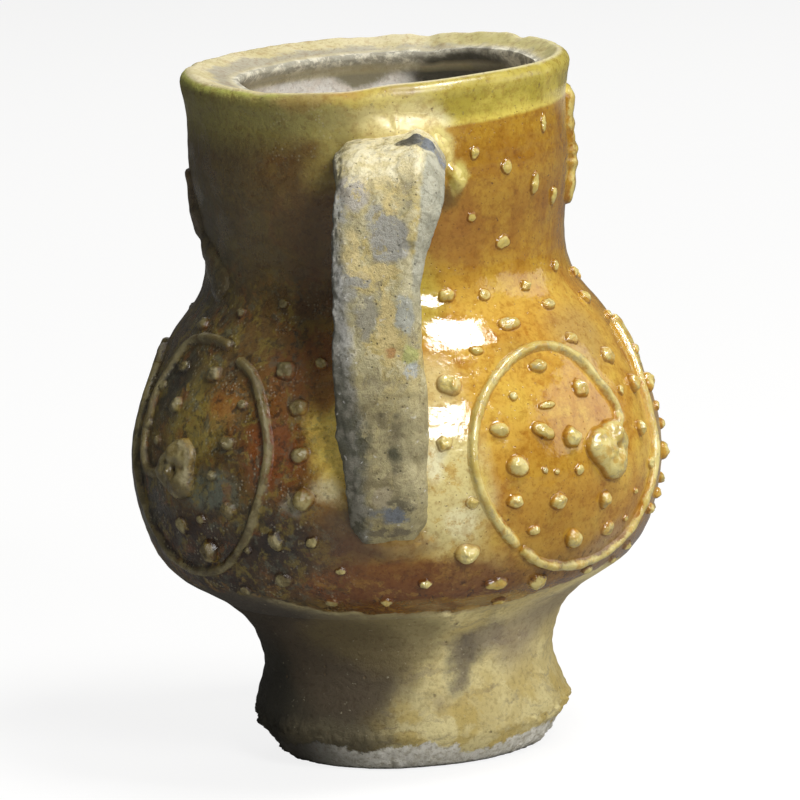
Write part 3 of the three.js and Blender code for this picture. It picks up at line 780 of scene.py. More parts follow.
bites = [
    ((13.4, -57.3, 149.6), 3.0), ((10.6, -56.9, 150.9), 3.3), ((7.8, -56.6, 150.8), 2.6),
    ((8.4, -71.0, 127.2), 1.6), ((-9.5, -70.5, 112.0), 1.8),
    ((3.0, -70.6, 80.2), 1.9), ((5.6, -70.4, 73.6), 1.4),
]
handle = rolled(strap_sides, strap_rings)
strap_parts = even_places(strap_path, strap_rings)
for point in handle.verts:
    step = round(point.co.z * strap_rings)
    part = step / strap_rings
    turn = atan2(point.co.y, point.co.x)
    centre, ahead = curve_through(strap_path, strap_parts[step])
    outward = ahead.cross(Vector((1, 0, 0))).normalized()
    half_width = 0.5 * between(strap_widths, part)
    waist = ease(0.14, 0.26, part) * (1 - ease(0.3, 0.5, part))
    half_width *= 1 - 0.08 * waist * ease(0.1, -0.6, cos(turn))
    side = copysign(abs(cos(turn)) ** 0.66, cos(turn))
    depth = copysign(abs(sin(turn)) ** 0.72, sin(turn)) * 0.5 * strap_thickness
    if depth > 0:
        near_top = 1 - ease(0.34, 0.56, part)
        edges = 2.6 * ease(0.8, 1.0, side) + 1.0 * ease(0.7, 1.0, -side)
        depth -= near_top * edges * depth / strap_thickness * 2
        depth -= 1.5 * (1 - near_top) * ease(0.62, 1.0, abs(side)) * depth / strap_thickness * 2
        depth += 0.7 * bell(side - 0.52, 0.1) * near_top - 0.5 * bell(side, 0.5) * near_top
    spot = centre + Vector((1, 0, 0)) * side * half_width + outward * depth
    at_bend = ease(-0.03, 0.04, part) * (1 - ease(0.2, 0.34, part))
    spot.z -= at_bend * (3.2 * ease(0.62, 1.15, side) + 0.9 * ease(0.6, 1.0, -side))
    spot.z -= (1 - ease(0.14, 0.26, part)) * (0.9 + 1.1 * ease(0.6, -0.35, side))
    away = (Vector((1, 0, 0)) * side + outward * depth / strap_thickness * 2).normalized()
    lumps = 0.4 * noise(spot / 11) + 0.2 * noise(spot / 4.2)
    lumps += 0.14 * noise(spot / 1.9) + 0.12 * noise(spot / 0.9)
    wear = min(0, noise(spot / 5 + Vector((3, 1, 5))) + 0.08)
    rough_left = ease(-0.45, -0.95, side) * (abs(noise(spot / 1.6)) - 0.3)
    low_tears = ease(0.62, 0.75, part) * ease(0.9, 0.84, part)
    low_tears *= min(0, bumps(spot.x / 2.2, 3, spot.z / 4.5) + 0.12)
    spot += away * (lumps + 0.5 * wear + 0.3 * rough_left + 0.8 * low_tears)
    for middle, size in bites:
        gap = spot - Vector(middle)
        rough_size = size * (1 + 0.1 * noise(spot / 1.8))
        if gap.length < rough_size:
            spot = Vector(middle) + gap.normalized() * rough_size
    point.co = spot * MM
bmesh.ops.recalc_face_normals(handle, faces=handle.faces[:])

worn = new_finish("worn_glaze_on_strap")
place = clay_place()
torn = ragged_place(3.6, 8)
sides = put("SeparateXYZ", place).outputs
broad = grain(torn, 9, 5.0, 0.6)
middling = grain(torn, 3.6, 5.0, 0.65)
fine = grain(place, 1.0, 6.0, 0.72)
colour = paint(mapped(broad, 0.44, 0.56), (0.46, 0.405, 0.22), (0.54, 0.425, 0.155))
colour = paint(mapped(middling, 0.52, 0.62, 0, 0.75), colour, (0.64, 0.58, 0.36))
colour = paint(mapped(middling, 0.46, 0.38, 0, 0.6), colour, (0.32, 0.285, 0.19))
high = mapped(plus(sides[2], times(broad, 0.006)), 0.1425, 0.1475)
high_shade = paint(mapped(middling, 0.42, 0.6), (0.73, 0.63, 0.34), (0.84, 0.77, 0.52))
colour = paint(high, colour, high_shade)
low = mapped(sides[2], 0.106, 0.088)
rubbed = mapped(grain(torn, 5, 5.0, 0.65), 0.42, 0.58)
lower_shade = paint(rubbed, (0.22, 0.178, 0.085), (0.43, 0.37, 0.19))
lower_shade = paint(mapped(sides[0], -0.001, 0.006, 0, 0.6), lower_shade, (0.48, 0.42, 0.23))
colour = paint(times(low, 0.9), colour, lower_shade)
grey = (0.35, 0.34, 0.295)
pale_grey = (0.48, 0.48, 0.44)
ochre = (0.64, 0.51, 0.22)
across = stretch(torn, (1, 0, 1))
drag = grain(stretch(torn, (1, 0.3, 0.22)), 2.6, 4.0, 0.6)
colour = paint(mapped(drag, 0.54, 0.64, 0, 0.55), colour, (0.26, 0.215, 0.1))
colour = paint(mapped(drag, 0.44, 0.36, 0, 0.45), colour, (0.5, 0.42, 0.18))
broken_up = mapped(grain(place, 3.0, 6.0, 0.68), 0.4, 0.47, 0.15, 1.0)
for x, z, size, soft, tall, shade, strength in (
    (4.0, 129, 4.6, 0.7, 1.15, grey, 0.95),
    (-3.5, 139.5, 3.0, 0.7, 1.2, (0.44, 0.41, 0.36), 0.85),
    (1.0, 133.5, 2.2, 0.6, 1.6, grey, 0.8),
    (-6.5, 136.0, 1.6, 0.5, 1.9, pale_grey, 0.8),
    (-2.0, 112, 2.4, 0.5, 2.2, (0.31, 0.29, 0.22), 0.85),
    (6.9, 112, 2.6, 0.5, 1.7, (0.37, 0.375, 0.32), 0.9),
    (-3.2, 120.5, 2.6, 0.6, 0.8, grey, 0.85),
    (-6.0, 119, 2.0, 0.5, 2.4, grey, 0.8),
    (5.2, 137.0, 2.4, 0.8, 1.1, ochre, 0.8),
    (-4.6, 127.0, 2.0, 0.6, 2.4, ochre, 0.75),
    (2.8, 109.5, 1.8, 0.5, 4.6, ochre, 0.95),
    (0.6, 122.0, 6.0, 0.6, 0.25, ochre, 0.75),
    (8.4, 120.5, 1.6, 0.5, 2.6, (0.6, 0.54, 0.33), 0.9),
    (2.6, 104.5, 1.0, 0.4, 1.0, (0.44, 0.21, 0.06), 0.8),
    (7.0, 103.4, 2.0, 0.6, 1.1, (0.4, 0.41, 0.13), 0.85),
    (7.2, 100, 1.8, 0.5, 0.9, (0.42, 0.45, 0.45), 0.8),
    (2.9, 80.0, 1.5, 1.0, 1.3, (0.075, 0.07, 0.035), 0.95),
    (2.7, 76.4, 0.9, 0.8, 1.6, (0.12, 0.1, 0.055), 0.8),
    (3.2, 84.5, 1.6, 1.2, 1.4, (0.17, 0.14, 0.075), 0.7),
    (0.8, 89.5, 0.8, 0.6, 1.2, (0.12, 0.1, 0.05), 0.8),
    (3.9, 89.0, 0.7, 0.6, 1.2, (0.13, 0.11, 0.055), 0.8),
    (-5.0, 84, 2.2, 1.4, 3.0, (0.085, 0.085, 0.055), 0.8),
    (-0.6, 70.0, 2.3, 0.6, 1.1, (0.4, 0.34, 0.21), 0.9),
    (3.4, 68.8, 2.6, 0.8, 0.5, (0.1, 0.085, 0.05), 0.8),
    (1.8, 66.2, 3.2, 1.0, 0.6, (0.19, 0.21, 0.235), 0.95),
    (-3.0, 66.8, 1.6, 1.0, 0.6, (0.22, 0.23, 0.23), 0.8),
    (0.4, 61.6, 5.0, 1.2, 0.3, (0.17, 0.14, 0.09), 0.8),
):
    cover = times(patch(across, (x * MM, 0, z * MM), size, soft, tall), broken_up)
    colour = paint(times(cover, strength), colour, shade)

# the right edge near the top is a smooth grey-green, the left one dark and gritty, its left face
# painted darker still as shade
right_edge = plus(mapped(sides[2], 0.118, 0.146, 0.0088, 0.0122), waver(broad, 0.004))
flank = mapped(minus(sides[0], right_edge), -0.0004, 0.0006)
flank = times(flank, times(mapped(sides[2], 0.108, 0.122), mapped(sides[2], 0.149, 0.1455)))
flank_shade = paint(mapped(middling, 0.42, 0.58), (0.33, 0.325, 0.25), (0.47, 0.46, 0.36))
colour = paint(times(flank, 0.9), colour, flank_shade)
left_line = mapped(sides[2], 0.07, 0.136, -0.0042, -0.007)
left_edge = minus(plus(left_line, waver(middling, 0.006)), sides[0])
gritty = times(mapped(left_edge, -0.0012, 0.0018), mapped(sides[2], 0.1475, 0.143))
gritty_low = paint(mapped(middling, 0.42, 0.6), (0.115, 0.115, 0.08), (0.29, 0.275, 0.22))
gritty_high = paint(mapped(middling, 0.42, 0.6), (0.4, 0.4, 0.36), (0.76, 0.75, 0.7))
gritty_shade = paint(mapped(sides[2], 0.09, 0.118), gritty_low, gritty_high)
colour = paint(times(gritty, 0.92), colour, gritty_shade)
facing = put("SeparateXYZ", put("NewGeometry").outputs["Normal"]).outputs
# painted shade: the strap's left face, turned from the lamps, is painted dark
shaded_left_face = mapped(plus(facing[0], waver(middling, 0.5)), -0.62, -0.84)
shaded_left_face = times(shaded_left_face, mapped(sides[2], 0.066, 0.08))
colour = paint(times(shaded_left_face, 0.8), colour, (0.095, 0.095, 0.07))
# painted shade: faces of the strap that turn towards the pot's wall are painted darker
colour = paint(mapped(facing[1], 0.1, 0.6, 0, 0.7), colour, (0.26, 0.19, 0.07))
# the broken crescent: bare grey-blue body, painted near black at its left end as shade in the hollow;
# its tail is only painted, with no hollow under it
broken_tail = [((15.4, -57.6, 147.4), 1.7), ((16.3, -57.9, 145.6), 1.5), ((16.8, -58.2, 143.8), 1.2)]
broken_shade = paint(mapped(sides[0], 0.0095, 0.0145), (0.06, 0.055, 0.034), (0.24, 0.26, 0.28))
broken_mottle = mapped(grain(place, 1.6, 5.0, 0.7), 0.5, 0.6, 0, 0.75)
broken_shade = paint(broken_mottle, broken_shade, (0.3, 0.27, 0.17))
for middle, size in bites[:3] + broken_tail:
    broken = patch(place, Vector(middle) * MM, size + 0.45, 0.25)
    colour = paint(broken, colour, broken_shade)
grit = specks(place, 1.5, 0.32, 0.4)
colour = paint(times(grit, 0.55), colour, (0.1, 0.085, 0.055))
# painted glints: small near-white specks, most on the gritty edge, which also lower the roughness
glints = times(specks(torn, 1.8, 0.4, 0.34), plus(gritty, 0.55))
painted_glints = calc("MINIMUM", times(glints, 0.85), 0.9)
colour = paint(painted_glints, colour, (0.8, 0.79, 0.74))
colour = paint(mapped(fine, 0.36, 0.5, 0.45, 0), colour, (0.5, 0.44, 0.36), "MULTIPLY")
worn_rough = minus(mapped(middling, 0.4, 0.62, 0.36, 0.62), times(glints, 0.3))
worn_rough = minus(worn_rough, times(high, 0.12))
worn_height = plus(times(middling, 1.5), times(fine, 1.5))
worn_height = minus(worn_height, times(grit, 0.8))
worn_height = plus(worn_height, times(gritty, times(fine, 1.6)))
coat(colour, worn_rough, worn_height, deep=0.8)
make_piece(handle, "handle_strap", worn, "worn_glaze", "handle")

# The scrolls: strips of pale clay, rolled between the fingers, laid round in a broken ring on
# each side of the belly and pressed down while wet. The glaze runs off their tops and gathers
# darker along their feet, where painted shade is added in the crease. The two on the far side
# follow the right one.
strip_width = 2.1
strip_height = 1.3
strip_sides = 24
strip_step = 0.7
skirt = 0.8
skirt_start = 0.93
set_in = 0.5
scroll_size = 50
right_form = {
    "outer": [
        (41, 48), (36, 34), (31, 18), (28.5, -4), (25, -22), (18, -40), (8, -49), (-3, -50),
        (-12, -45.4), (-18, -37.4),
    ],
    "inner": [
        (-18.8, -35.4), (-24, -22), (-27.5, -6), (-28, 12), (-25, 29), (-19, 41.2), (-10, 49.2),
        (-1, 49.6), (6, 42.8), (10.5, 29), (13.2, 16.8), (11.5, 7.5),
    ],
    "berry": (6.5, 1),
}
left_form = {
    "outer": [
        (36, 42), (29.5, 35), (25.5, 20), (24.5, 4), (20, -14), (16, -32), (11, -46), (4, -50.8),
        (-4, -50.8), (-11, -46), (-16.5, -36), (-21, -22), (-24, -4), (-24.5, 10), (-22, 26),
        (-17, 39), (-11, 45.4),
    ],
    "inner": [
        (-6.5, 50), (1, 52), (10, 50.6), (16, 44), (18.6, 30), (18.8, 14), (17, -1), (13.5, -8),
        (9, -7),
    ],
    "berry": (1, -4),
}
scrolls = [
    ("right_scroll", 47, 73, 1, right_form),
    ("left_scroll", -51, 76, -1, left_form),
    ("front_right_scroll", 137, 73, -1, right_form),
    ("front_left_scroll", -137, 73, 1, right_form),
]
strip_places = []


def beside(angle, height, across, along, lift):
    """A place across and along the wall, in millimetres, from the one at this angle and height."""
    turn = degrees(across / wall_radius(height))
    return on_wall(angle + turn, height + along / hypot(1, wall_slope(height)), lift)


def lay_strip(places, width, height, seed, lumpy, pale):
    """A tube pressed flat under, thick or thin as the fingers left it, with a thin glaze skirt."""
    flat = [(angle, level, 0) for angle, level in places]
    spots = [curve_through(flat, part / 200)[0] for part in range(201)]
    length = 0
    for near, far in zip(spots, spots[1:]):
        length += hypot(radians(far.x - near.x) * wall_radius(near.y), far.y - near.y)
    rings = max(8, round(length / strip_step))
    shape = rolled(strip_sides, rings)
    slip = shape.verts.layers.float.new("slip")
    glaze_pool_and_shade = shape.verts.layers.float.new("glaze_pool_and_shade")
    for point in shape.verts:
        part = point.co.z
        turn = atan2(point.co.y, point.co.x)
        centre, ahead = curve_through(flat, part)
        run = Vector((radians(ahead.x) * wall_radius(centre.y), ahead.y)).normalized()
        from_end = min(part, 1 - part) * length
        gone = part * length
        swell = 1 + lumpy * (0.16 * bumps(gone / 7, seed, 0) + 0.08 * bumps(gone / 2.5, seed, 3))
        tip = sqrt(max(0.0, 1 - (1 - min(from_end / (0.8 * width), 1)) ** 2))
        if sin(turn) > -0.001:
            side = cos(turn)
            reach_out = 0.5 * width * swell * (0.25 + 0.75 * tip)
            if abs(side) > skirt_start:
                out = (abs(side) - skirt_start) / 0.07
                across = copysign(reach_out + skirt * out, side)
                lift = 0.1 * (1 - out) - 0.14 * out
                point[slip] = 0.3 * (1 - out) * pale
                point[glaze_pool_and_shade] = 0.8 * (1 - out)
            else:
                share = side / skirt_start
                across = reach_out * copysign(abs(share) ** 0.92, side)
                knobs = 1 + 0.1 * lumpy * bumps(gone / 2.6, share, seed)
                lift = height * swell * knobs * tip * sqrt(max(0.0, 1 - abs(share) ** 2.3)) + 0.1
                point[slip] = pale * (0.35 + 0.65 * ease(0.1, 0.8, lift / height))
                point[glaze_pool_and_shade] = 0.8 * (1 - ease(0.05, 0.4, lift / height))
        else:
            across = 0.5 * width * cos(turn)
            lift = -set_in
        off = across + 0.35 * bumps(gone / 9, seed, 9)
        point.co = beside(centre.x, centre.y, off * run.y, -off * run.x, lift)
    bmesh.ops.recalc_face_normals(shape, faces=shape.faces[:])
    strip_places.extend((spot.x, spot.y) for spot in spots[::8])
    return shape


for seed, (name, middle, height, side, form) in enumerate(scrolls):
    for part_name in ("outer", "inner"):
        bends = form[part_name]
        places = [(middle + side * angle, height + 0.01 * rise * scroll_size) for angle, rise in bends]
        strip = lay_strip(
            places, strip_width, strip_height, 10 * seed + len(part_name), lumpy=1.2, pale=0.9,
        )
        make_piece(strip, f"{name}_{part_name}_roll", glaze, "slip", f"{name}_{part_name}_strip")

# The berries: three-lobed lumps of the same pale clay pressed over the inner ends of the
# scrolls, with a pit and a small raised button where the tool was pulled off.
berry_radius = 7.6
berry_height = 4.2
lobe_reach = 0.4
lobe_radius = 0.58
rim_at = 0.62
skirt_end = 0.82


def press_lump(angle, height, outline, top, skirt_width, lean, sides, rings, pale=1.0, pit_darkening=None):
    """A ball pressed on the wall: outline gives its half width in a direction, top its height."""
    shape = bmesh.new()
    slip = shape.verts.layers.float.new("slip")
    glaze_pool_and_shade = shape.verts.layers.float.new("glaze_pool_and_shade")
    bmesh.ops.create_uvsphere(shape, u_segments=sides, v_segments=rings, radius=1)
    for point in shape.verts:
        down = acos(min(max(point.co.z, -1), 1)) / pi
        turn = atan2(point.co.y, point.co.x)
        rim = outline(turn)
        if down <= rim_at:
            share = sin(0.5 * pi * down / rim_at)
            spread = rim * share
            lift = top(share, turn)
            point[slip] = pale * (1 - 0.85 * ease(0.86 if pit_darkening else 0.6, 1.0, share))
            point[glaze_pool_and_shade] = pale * ease(0.86, 1.0, share)
            if pit_darkening:
                point[glaze_pool_and_shade] = max(point[glaze_pool_and_shade], 1.7 * pit_darkening(share, turn))
        elif down <= skirt_end:
            out = (down - rim_at) / 0.2
            spread = rim + skirt_width * out
            lift = top(1, turn) * (1 - out) ** 2 - 0.14 * out
            point[slip] = 0
            point[glaze_pool_and_shade] = pale * (1 - out) ** 0.5
        else:
            spread = (rim + skirt_width) * (1 - down) / 0.18
            lift = -set_in
        way = turn + radians(lean)
        point.co = beside(angle, height, spread * cos(way), spread * sin(way), lift)
    bmesh.ops.recalc_face_normals(shape, faces=shape.faces[:])
    return shape


def berry_outline(turn):
    reaches = []
    for lobe in (160, 40, -80):
        gap = turn - radians(lobe)
        off = lobe_reach * cos(gap)
        reaches.append(off + sqrt(max(0.0, lobe_radius ** 2 - (lobe_reach * sin(gap)) ** 2)))
    ragged = 1 + 0.08 * bumps(2.2 * cos(turn), 2.2 * sin(turn), 6)
    return 0.99 * berry_radius * ragged * sum(max(reach, 0.01) ** 6 for reach in reaches) ** (1 / 6)


berry_forms = [
    (-0.44, 0.16, 0.36, 1.2), (0.38, 0.32, 0.3, 1.0), (0.1, -0.46, 0.36, 1.2),
    (0.36, 0.72, 0.14, 0.7), (0.28, 0.57, 0.14, 0.8), (0.2, 0.43, 0.14, 0.8),
    (0.11, 0.3, 0.13, 0.6), (-0.07, -0.04, 0.13, 0.8), (0.12, 0.00, 0.1, -1.5),
    (0.13, -0.2, 0.11, -0.6), (-0.12, 0.34, 0.1, -0.3), (0.46, -0.14, 0.1, -0.4),
    (-0.5, 0.34, 0.09, -0.3), (-0.22, -0.3, 0.09, -0.3),
]


def berry_place(share, turn):
    reach = share * berry_outline(turn) / berry_radius
    return Vector((reach * cos(turn), reach * sin(turn)))


def berry_pit_darkening(share, turn):
    """How much darker the berry's pits are coloured."""
    here = berry_place(share, turn)
    return max(
        min(-rise, 1) * bell((here - Vector((x, y))).length, 0.9 * size)
        for x, y, size, rise in berry_forms if rise < 0
    )


def berry_top(share, turn):
    here = berry_place(share, turn)
    top = 0.56 * berry_height
    for x, y, size, rise in berry_forms:
        top += rise * bell((here - Vector((x, y))).length, size)
    dome = max(0.0, 1 - share ** 5) ** 0.5
    rough = 0.3 * bumps(here.x * 2.6, here.y * 2.6, 4) + 0.2 * bumps(here.x * 7, here.y * 7, 1)
    return 0.12 + dome * (top + rough)


for name, middle, height, side, form in scrolls:
    angle, rise = form["berry"]
    berry_angle, berry_level = middle + side * angle, height + 0.01 * rise * scroll_size
    lean = 0 if side > 0 else 25
    lump = press_lump(
        berry_angle, berry_level, berry_outline, berry_top,
        skirt_width=0.9, lean=lean, sides=80, rings=60, pit_darkening=berry_pit_darkening,
    )
    make_piece(lump, f"{name}_berry_lump", glaze, "slip", f"{name}_berry")
    strip_places.append((berry_angle, berry_level))

# The neck strips: lumpy bands of clay down both sides of the neck. The left one is broad and
# dark, and ends in a rounded lobe on the shoulder; the right one shows as a knobbly edge.
right_places = [(91, 152.5), (90, 142), (91, 134), (88, 124.8)]
left_places = [(-85, 138), (-85, 128), (-78, 121), (-68, 116), (-58, 111.5)]
for name, places, width, height, seed, pale, slot in (
    ("right_neck", right_places, 6.0, 1.6, 71, 0.8, "slip"),
    ("left_neck", left_places, 7.6, 1.3, 83, 0.15, "glaze"),
):
    band_of_clay = lay_strip(places, width, height, seed, lumpy=3.2, pale=pale)
    make_piece(band_of_clay, f"{name}_band", glaze, slot, f"{name}_strip")

# The smears of clay that lute the handle's two ends to the wall, with a drip that ran down beside
# the top one. They were wiped thin by hand and lie under the glaze, so they have its colours.
def press_smear(angle, height, half_long, half_high, rise, lean):
    """A long oval of clay, wiped out to nothing at its edge."""
    def outline(turn):
        across = hypot(half_high * cos(turn), half_long * sin(turn))
        flat = half_long * half_high / across
        return flat * (1 + 0.16 * bumps(cos(turn) * 1.6, sin(turn) * 1.6, half_long))

    def top(share, turn):
        here = Vector((share * cos(turn) * half_long, share * sin(turn) * half_high, 3))
        return 0.02 + rise * (1 - share * share) ** 1.6 * (1 + 0.22 * noise(here / 3.4))

    return press_lump(
        angle, height, outline, top, skirt_width=0.4, lean=lean, sides=72, rings=48, pale=0.0,
    )


for name, *smear in (
    ("handle_luting", 8, 149.0, 14, 5.0, 1.7, -4),
    ("handle_luting_right", 20.0, 145.2, 2.6, 5.2, 1.5, 16),
    ("handle_luting_drip", 25.0, 137.6, 2.0, 4.4, 1.2, 24),
    ("handle_foot_luting", 1.4, 57.8, 8.8, 4.4, 1.5, 0),
):
    make_piece(press_smear(*smear), name, glaze, "glaze")

# The pellets: dabs of pale clay, pinched off and pressed on one by one, so no two are alike.
# Each is a little angular, leans its own way and has glaze gathered round its foot, darkened
# further there as painted shade.
pellet_rise = 0.4
pellets = {
    "right_scroll": [
        (40, 94.1, 5, 3.4, 0), (50, 87.9, 5.2, 4.4, -30), (25.8, 82.2, 5, 4, -10),
        (36, 80.4, 6, 4, -35), (43.2, 78, 5.6, 5.2, 0), (28.4, 73.8, 6, 5.2, -30),
        (37.8, 64.4, 5, 4.2, 10), (51.3, 62.2, 3.6, 4.6, 0), (43, 54.8, 4.6, 5.2, 40),
    ],
    "right_side": [
        (66.5, 92.6, 5.4, 4.4, -20), (72, 85.1, 3.6, 4.8, 0), (84.8, 83, 4, 5, 0),
        (67.8, 75.4, 3, 3.8, 0), (89.3, 66, 4.6, 4.6, 0), (54.7, 54.8, 4.4, 3.8, 0),
    ],
    "right_of_handle": [
        (15.9, 92.7, 6, 5, -20), (12.8, 80.6, 3.8, 3.8, 0), (16.5, 55, 6, 5, 0),
        (24.2, 46.7, 6.4, 3.4, 5), (36.1, 45.4, 5.6, 4.6, -20),
    ],
    "shoulder": [
        (37.6, 103.5, 6.4, 3.8, -5), (55.5, 105.6, 4.6, 3.2, 0), (78, 104.2, 4, 4, 0),
        (-64, 104.3, 4.4, 3.6, 0),
    ],
    "neck": [(54.7, 133.5, 3, 5.4, -8), (67.8, 129.2, 3, 5, -8), (42.2, 121.2, 4.6, 3.2, 10)],
    "left_of_handle": [
        (-25, 96.9, 5.6, 5, 0), (-20, 89.3, 5, 4.2, 0), (-18.8, 79.3, 5, 4, 0),
        (-17.9, 69.4, 6, 5.6, 0), (-25.5, 59.6, 3.8, 5, 10), (-25.8, 50.2, 4.8, 4, 20),
    ],
    "left_scroll": [
        (-46.6, 95.2, 4.6, 4.4, 0), (-57.2, 87.6, 4.8, 3.8, 60), (-37.2, 81.3, 4.6, 3.8, 0),
        (-36.7, 66.3, 4.6, 4.6, 0), (-44.3, 56, 5, 6, 15), (-52.5, 61, 4.8, 4, -40),
        (-60.8, 95.4, 4.8, 3, 20),
    ],
    "front": [(180, 78, 5, 4.4, 0), (176, 62, 4.6, 4, 20), (184, 94, 5, 4, 0)],
}


def press_pellet(angle, height, length, width, lean, seed):
    """One dab: an uneven oval with three to five blunt corners and a dented top."""
    corners = 3 + seed % 3
    length, width = 0.94 * length, 0.94 * width
    flat = 1 - 0.6 * ease(112, 122, height)
    rise = flat * pellet_rise * width * (1 + 0.5 * bumps(seed * 1.7, 0.5, 3))
    tilt = 0.12 * bumps(seed * 2.3, 7.5, 1)

    def outline(turn):
        oval = 0.5 * length * width / hypot(width * cos(turn), length * sin(turn))
        ragged = 0.24 * bumps(cos(turn) * 0.9, sin(turn) * 0.9, seed * 3.1)
        return oval * (1 + ragged + 0.05 * cos(corners * turn + seed))

    def top(share, turn):
        dome = max(0.0, 1 - share ** 2.1) ** 0.62
        here = Vector((share * cos(turn), share * sin(turn), seed * 1.3))
        dent = 0.42 * noise(here * 1.2) + 0.12 * noise(here * 4)
        return 0.1 + rise * dome * (1 + dent + tilt * share * cos(turn + seed))

    return press_lump(
        angle, height, outline, top, skirt_width=0.5 + 0.05 * length, lean=lean, sides=36, rings=24,
    )


seed = 0
taken = []
for group, dabs in pellets.items():
    for number, (angle, height, length, width, lean) in enumerate(dabs, 1):
        seed += 1
        dab = press_pellet(angle, height, length, width, lean, seed)
        make_piece(dab, f"{group}_dab_{number}", glaze, "slip", f"{group}_pellet_{number}")
        taken.append((angle, height))

# The small dabs between them: flecks and crumbs of the same clay, flat on the neck, and on the
# unseen front an even scatter like the one that shows behind.
small_dabs = [
    (20.8, 111.1, 4.4, 3.2), (33.1, 110.2, 3.6, 2.8), (30.7, 88.9, 2.4, 2.2),
    (38.7, 85.8, 4.8, 1.8), (24.9, 99.1, 3.6, 2.2), (55.5, 98.1, 4.6, 3.0), (34.8, 71.9, 1.6, 1.6),
    (37.7, 71.1, 1.6, 1.4), (43.8, 70.6, 2.8, 2.6), (27.3, 66, 4.4, 3.2), (32, 58.5, 3.6, 2.6),
    (17.7, 66.8, 3.2, 2.8), (7.2, 48.6, 3.4, 2.4), (28.5, 41.1, 4.0, 2.6), (13.4, 39.2, 4.2, 2.2),
    (64.7, 84.9, 2.4, 2.6), (71.3, 66.9, 2.6, 3.2), (63.5, 61.9, 1.6, 1.6), (61.3, 55.9, 1.8, 1.6),
    (52.2, 45.7, 3.6, 2.6), (75.7, 55.3, 3.0, 3.0), (68, 48.2, 3.2, 2.6), (63.9, 45.5, 2.6, 2.2),
    (82.8, 57.4, 2.8, 3.0), (60.6, 146.6, 2.2, 5.0), (31.5, 142.8, 2.6, 3.2),
    (42.6, 138.6, 3.2, 3.8), (30.2, 128.2, 2.4, 2.4), (68.5, 112.8, 3.0, 3.0),
    (49.7, 110.4, 3.4, 2.6), (86.5, 109.1, 3.0, 3.0), (-15.6, 98.4, 3.4, 3.0),
    (-35.1, 89.6, 3.0, 2.6), (-16.9, 59.6, 3.4, 2.8), (-38.2, 46.7, 3.2, 2.6),
    (-15.8, 44.3, 3.6, 2.8), (-2.1, 44.3, 3.4, 2.6), (-68.4, 90.5, 3.0, 3.0), (-68.9, 82, 2.8, 3.2),
    (-62.4, 79.3, 3.0, 2.8), (-45.1, 63.3, 3.0, 2.6), (-40.8, 73.8, 2.8, 3.0), (93, 59, 4.4, 2.8),
    (97, 71, 5.0, 3.2), (90, 76.5, 3.0, 2.4), (95, 89, 4.6, 2.6), (89, 98.5, 2.8, 2.4),
    (96, 52, 4.0, 2.6), (-31, 110.5, 3.0, 2.4), (-47, 108, 2.6, 2.6), (-11.5, 52.5, 2.6, 2.0),
    (-33, 57, 2.2, 2.0),
]


def add_dab(gathered, *pellet):
    """One more dab, made by itself and then put with the others."""
    dab = press_pellet(*pellet)
    mesh = bpy.data.meshes.new("one_dab")
    dab.to_mesh(mesh)
    dab.free()
    gathered.from_mesh(mesh)
    bpy.data.meshes.remove(mesh)


crumbs = bmesh.new()
for angle, height, length, width in small_dabs:
    seed += 1
    add_dab(crumbs, angle, height, length, width, 10 * sin(seed), seed)
    taken.append((angle, height))
make_piece(crumbs, "small_dabs_behind", glaze, "slip")

scatter = random.Random(7)
tries = 900
bare_neck_share = 0.72
clear_space = 9.5
front_crumbs = bmesh.new()
for _ in range(tries):
    angle = scatter.uniform(101, 259)
    height = scatter.uniform(42, 146)
    length = scatter.uniform(2.6, 5.4)
    width = scatter.uniform(0.65, 0.95) * length
    if height > 112 and scatter.random() < bare_neck_share:
        continue
    angle = angle if angle <= 180 else angle - 360
    room = []
    for there, level_there in taken + strip_places:
        gap = (angle - there + 180) % 360 - 180
        room.append(hypot(radians(gap) * wall_radius(height), height - level_there))
    if min(room) < clear_space + 0.5 * length:
        continue
    seed += 1
    add_dab(front_crumbs, angle, height, length, width, 40 * scatter.uniform(-1, 1), seed)
    taken.append((angle, height))
make_piece(front_crumbs, "small_dabs_in_front", glaze, "slip")

# The floor: a wide matt disc that holds the pot's shadow. It glows a little where the camera
# looks at it, so that it shows white with no more light on the pot.
floor_radius = 6
glow_strength = 1.32
glow_share = 0.64
floor_shape = bmesh.new()
bmesh.ops.create_circle(floor_shape, cap_ends=True, segments=96, radius=floor_radius)
floor_mesh = bpy.data.meshes.new("studio_floor")
floor_shape.to_mesh(floor_mesh)
floor_shape.free()
studio_floor = bpy.data.objects.new("studio_floor", floor_mesh)
bpy.context.scene.collection.objects.link(studio_floor)
paper = new_finish("white_paper")
glow = put("Emission", (1, 1, 1, 1), glow_strength)
seen = put("LightPath").outputs
darker = times(seen["Is Glossy Ray"], 0.65)
matt = put("BsdfDiffuse", paint(darker, (0.48, 0.475, 0.46), (0.03, 0.03, 0.03)))
seen_plain = calc("MAXIMUM", seen["Is Camera Ray"], times(seen["Is Glossy Ray"], 0.06))
seen_plain = calc("MAXIMUM", seen_plain, seen["Is Transmission Ray"])
white = put("MixShader", times(seen_plain, glow_share), matt.outputs[0], glow.outputs[0])
put("OutputMaterial", white.outputs[0])
floor_mesh.materials.append(paper)
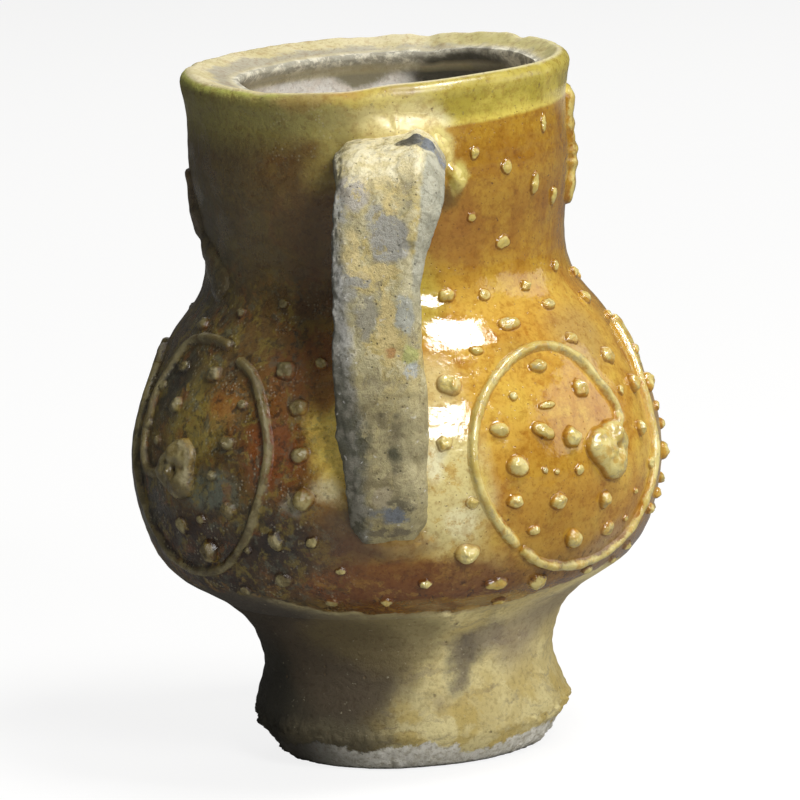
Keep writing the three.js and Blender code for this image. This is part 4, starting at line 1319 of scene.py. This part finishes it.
studio_floor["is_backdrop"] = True

# The light: a large soft lamp high on the right, a smaller one lower and nearer the handle, and
# two weak broad ones that fill the right side and the back, over a dim even sky.
world = bpy.data.worlds.new("dim_studio")
bpy.context.scene.world = world
world.use_nodes = True
sky = world.node_tree.nodes["Background"]
sky.inputs["Color"].default_value = (1, 0.99, 0.97, 1)
sky.inputs["Strength"].default_value = 0.1
look_at = Vector((0, 0, 0.085))


def direction(azimuth, rise):
    turn, up = radians(azimuth), radians(rise)
    return Vector((sin(turn) * cos(up), -cos(turn) * cos(up), sin(up)))


for name, azimuth, rise, away, size_x, size_y, power in (
    ("main_softbox", 61, 63, 1.0, 0.37, 0.26, 8.4),
    ("side_softbox", 26, 30, 1.0, 0.3, 0.22, 5.4),
    ("low_fill", 95, 17, 1.15, 1.0, 0.5, 2.1),
    ("back_fill", 180, 38, 1.4, 0.5, 0.9, 4.0),
):
    lamp = bpy.data.lights.new(name, "AREA")
    lamp.shape = "RECTANGLE"
    lamp.size = size_x
    lamp.size_y = size_y
    lamp.energy = power
    holder = bpy.data.objects.new(name, lamp)
    from_pot = direction(azimuth, rise)
    holder.location = look_at + away * from_pot
    holder.rotation_euler = (-from_pot).to_track_quat("-Z", "Y").to_euler()
    bpy.context.scene.collection.objects.link(holder)

# The camera: a long lens a little above the pot, turned a few degrees about its own axis.
camera_azimuth = 2.5
camera_rise = 9.79
camera_away = 1.879
camera_tilt = -3.38
camera_data = bpy.data.cameras.new("photograph")
camera_data.sensor_width = 36
camera_data.lens = 365.9
camera_data.shift_x = 0.0075
camera_data.shift_y = 0.00525
camera_data.clip_end = 50
camera = bpy.data.objects.new("photograph", camera_data)
aim = Vector((0, 0, 0.08))
from_aim = direction(camera_azimuth, camera_rise)
camera.location = aim + camera_away * from_aim
camera.rotation_mode = "QUATERNION"
roll = Quaternion((0, 0, 1), radians(camera_tilt))
camera.rotation_quaternion = (-from_aim).to_track_quat("-Z", "Y") @ roll
bpy.context.scene.collection.objects.link(camera)
bpy.context.scene.camera = camera
bpy.context.scene.view_settings.view_transform = "Standard"

low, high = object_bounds()
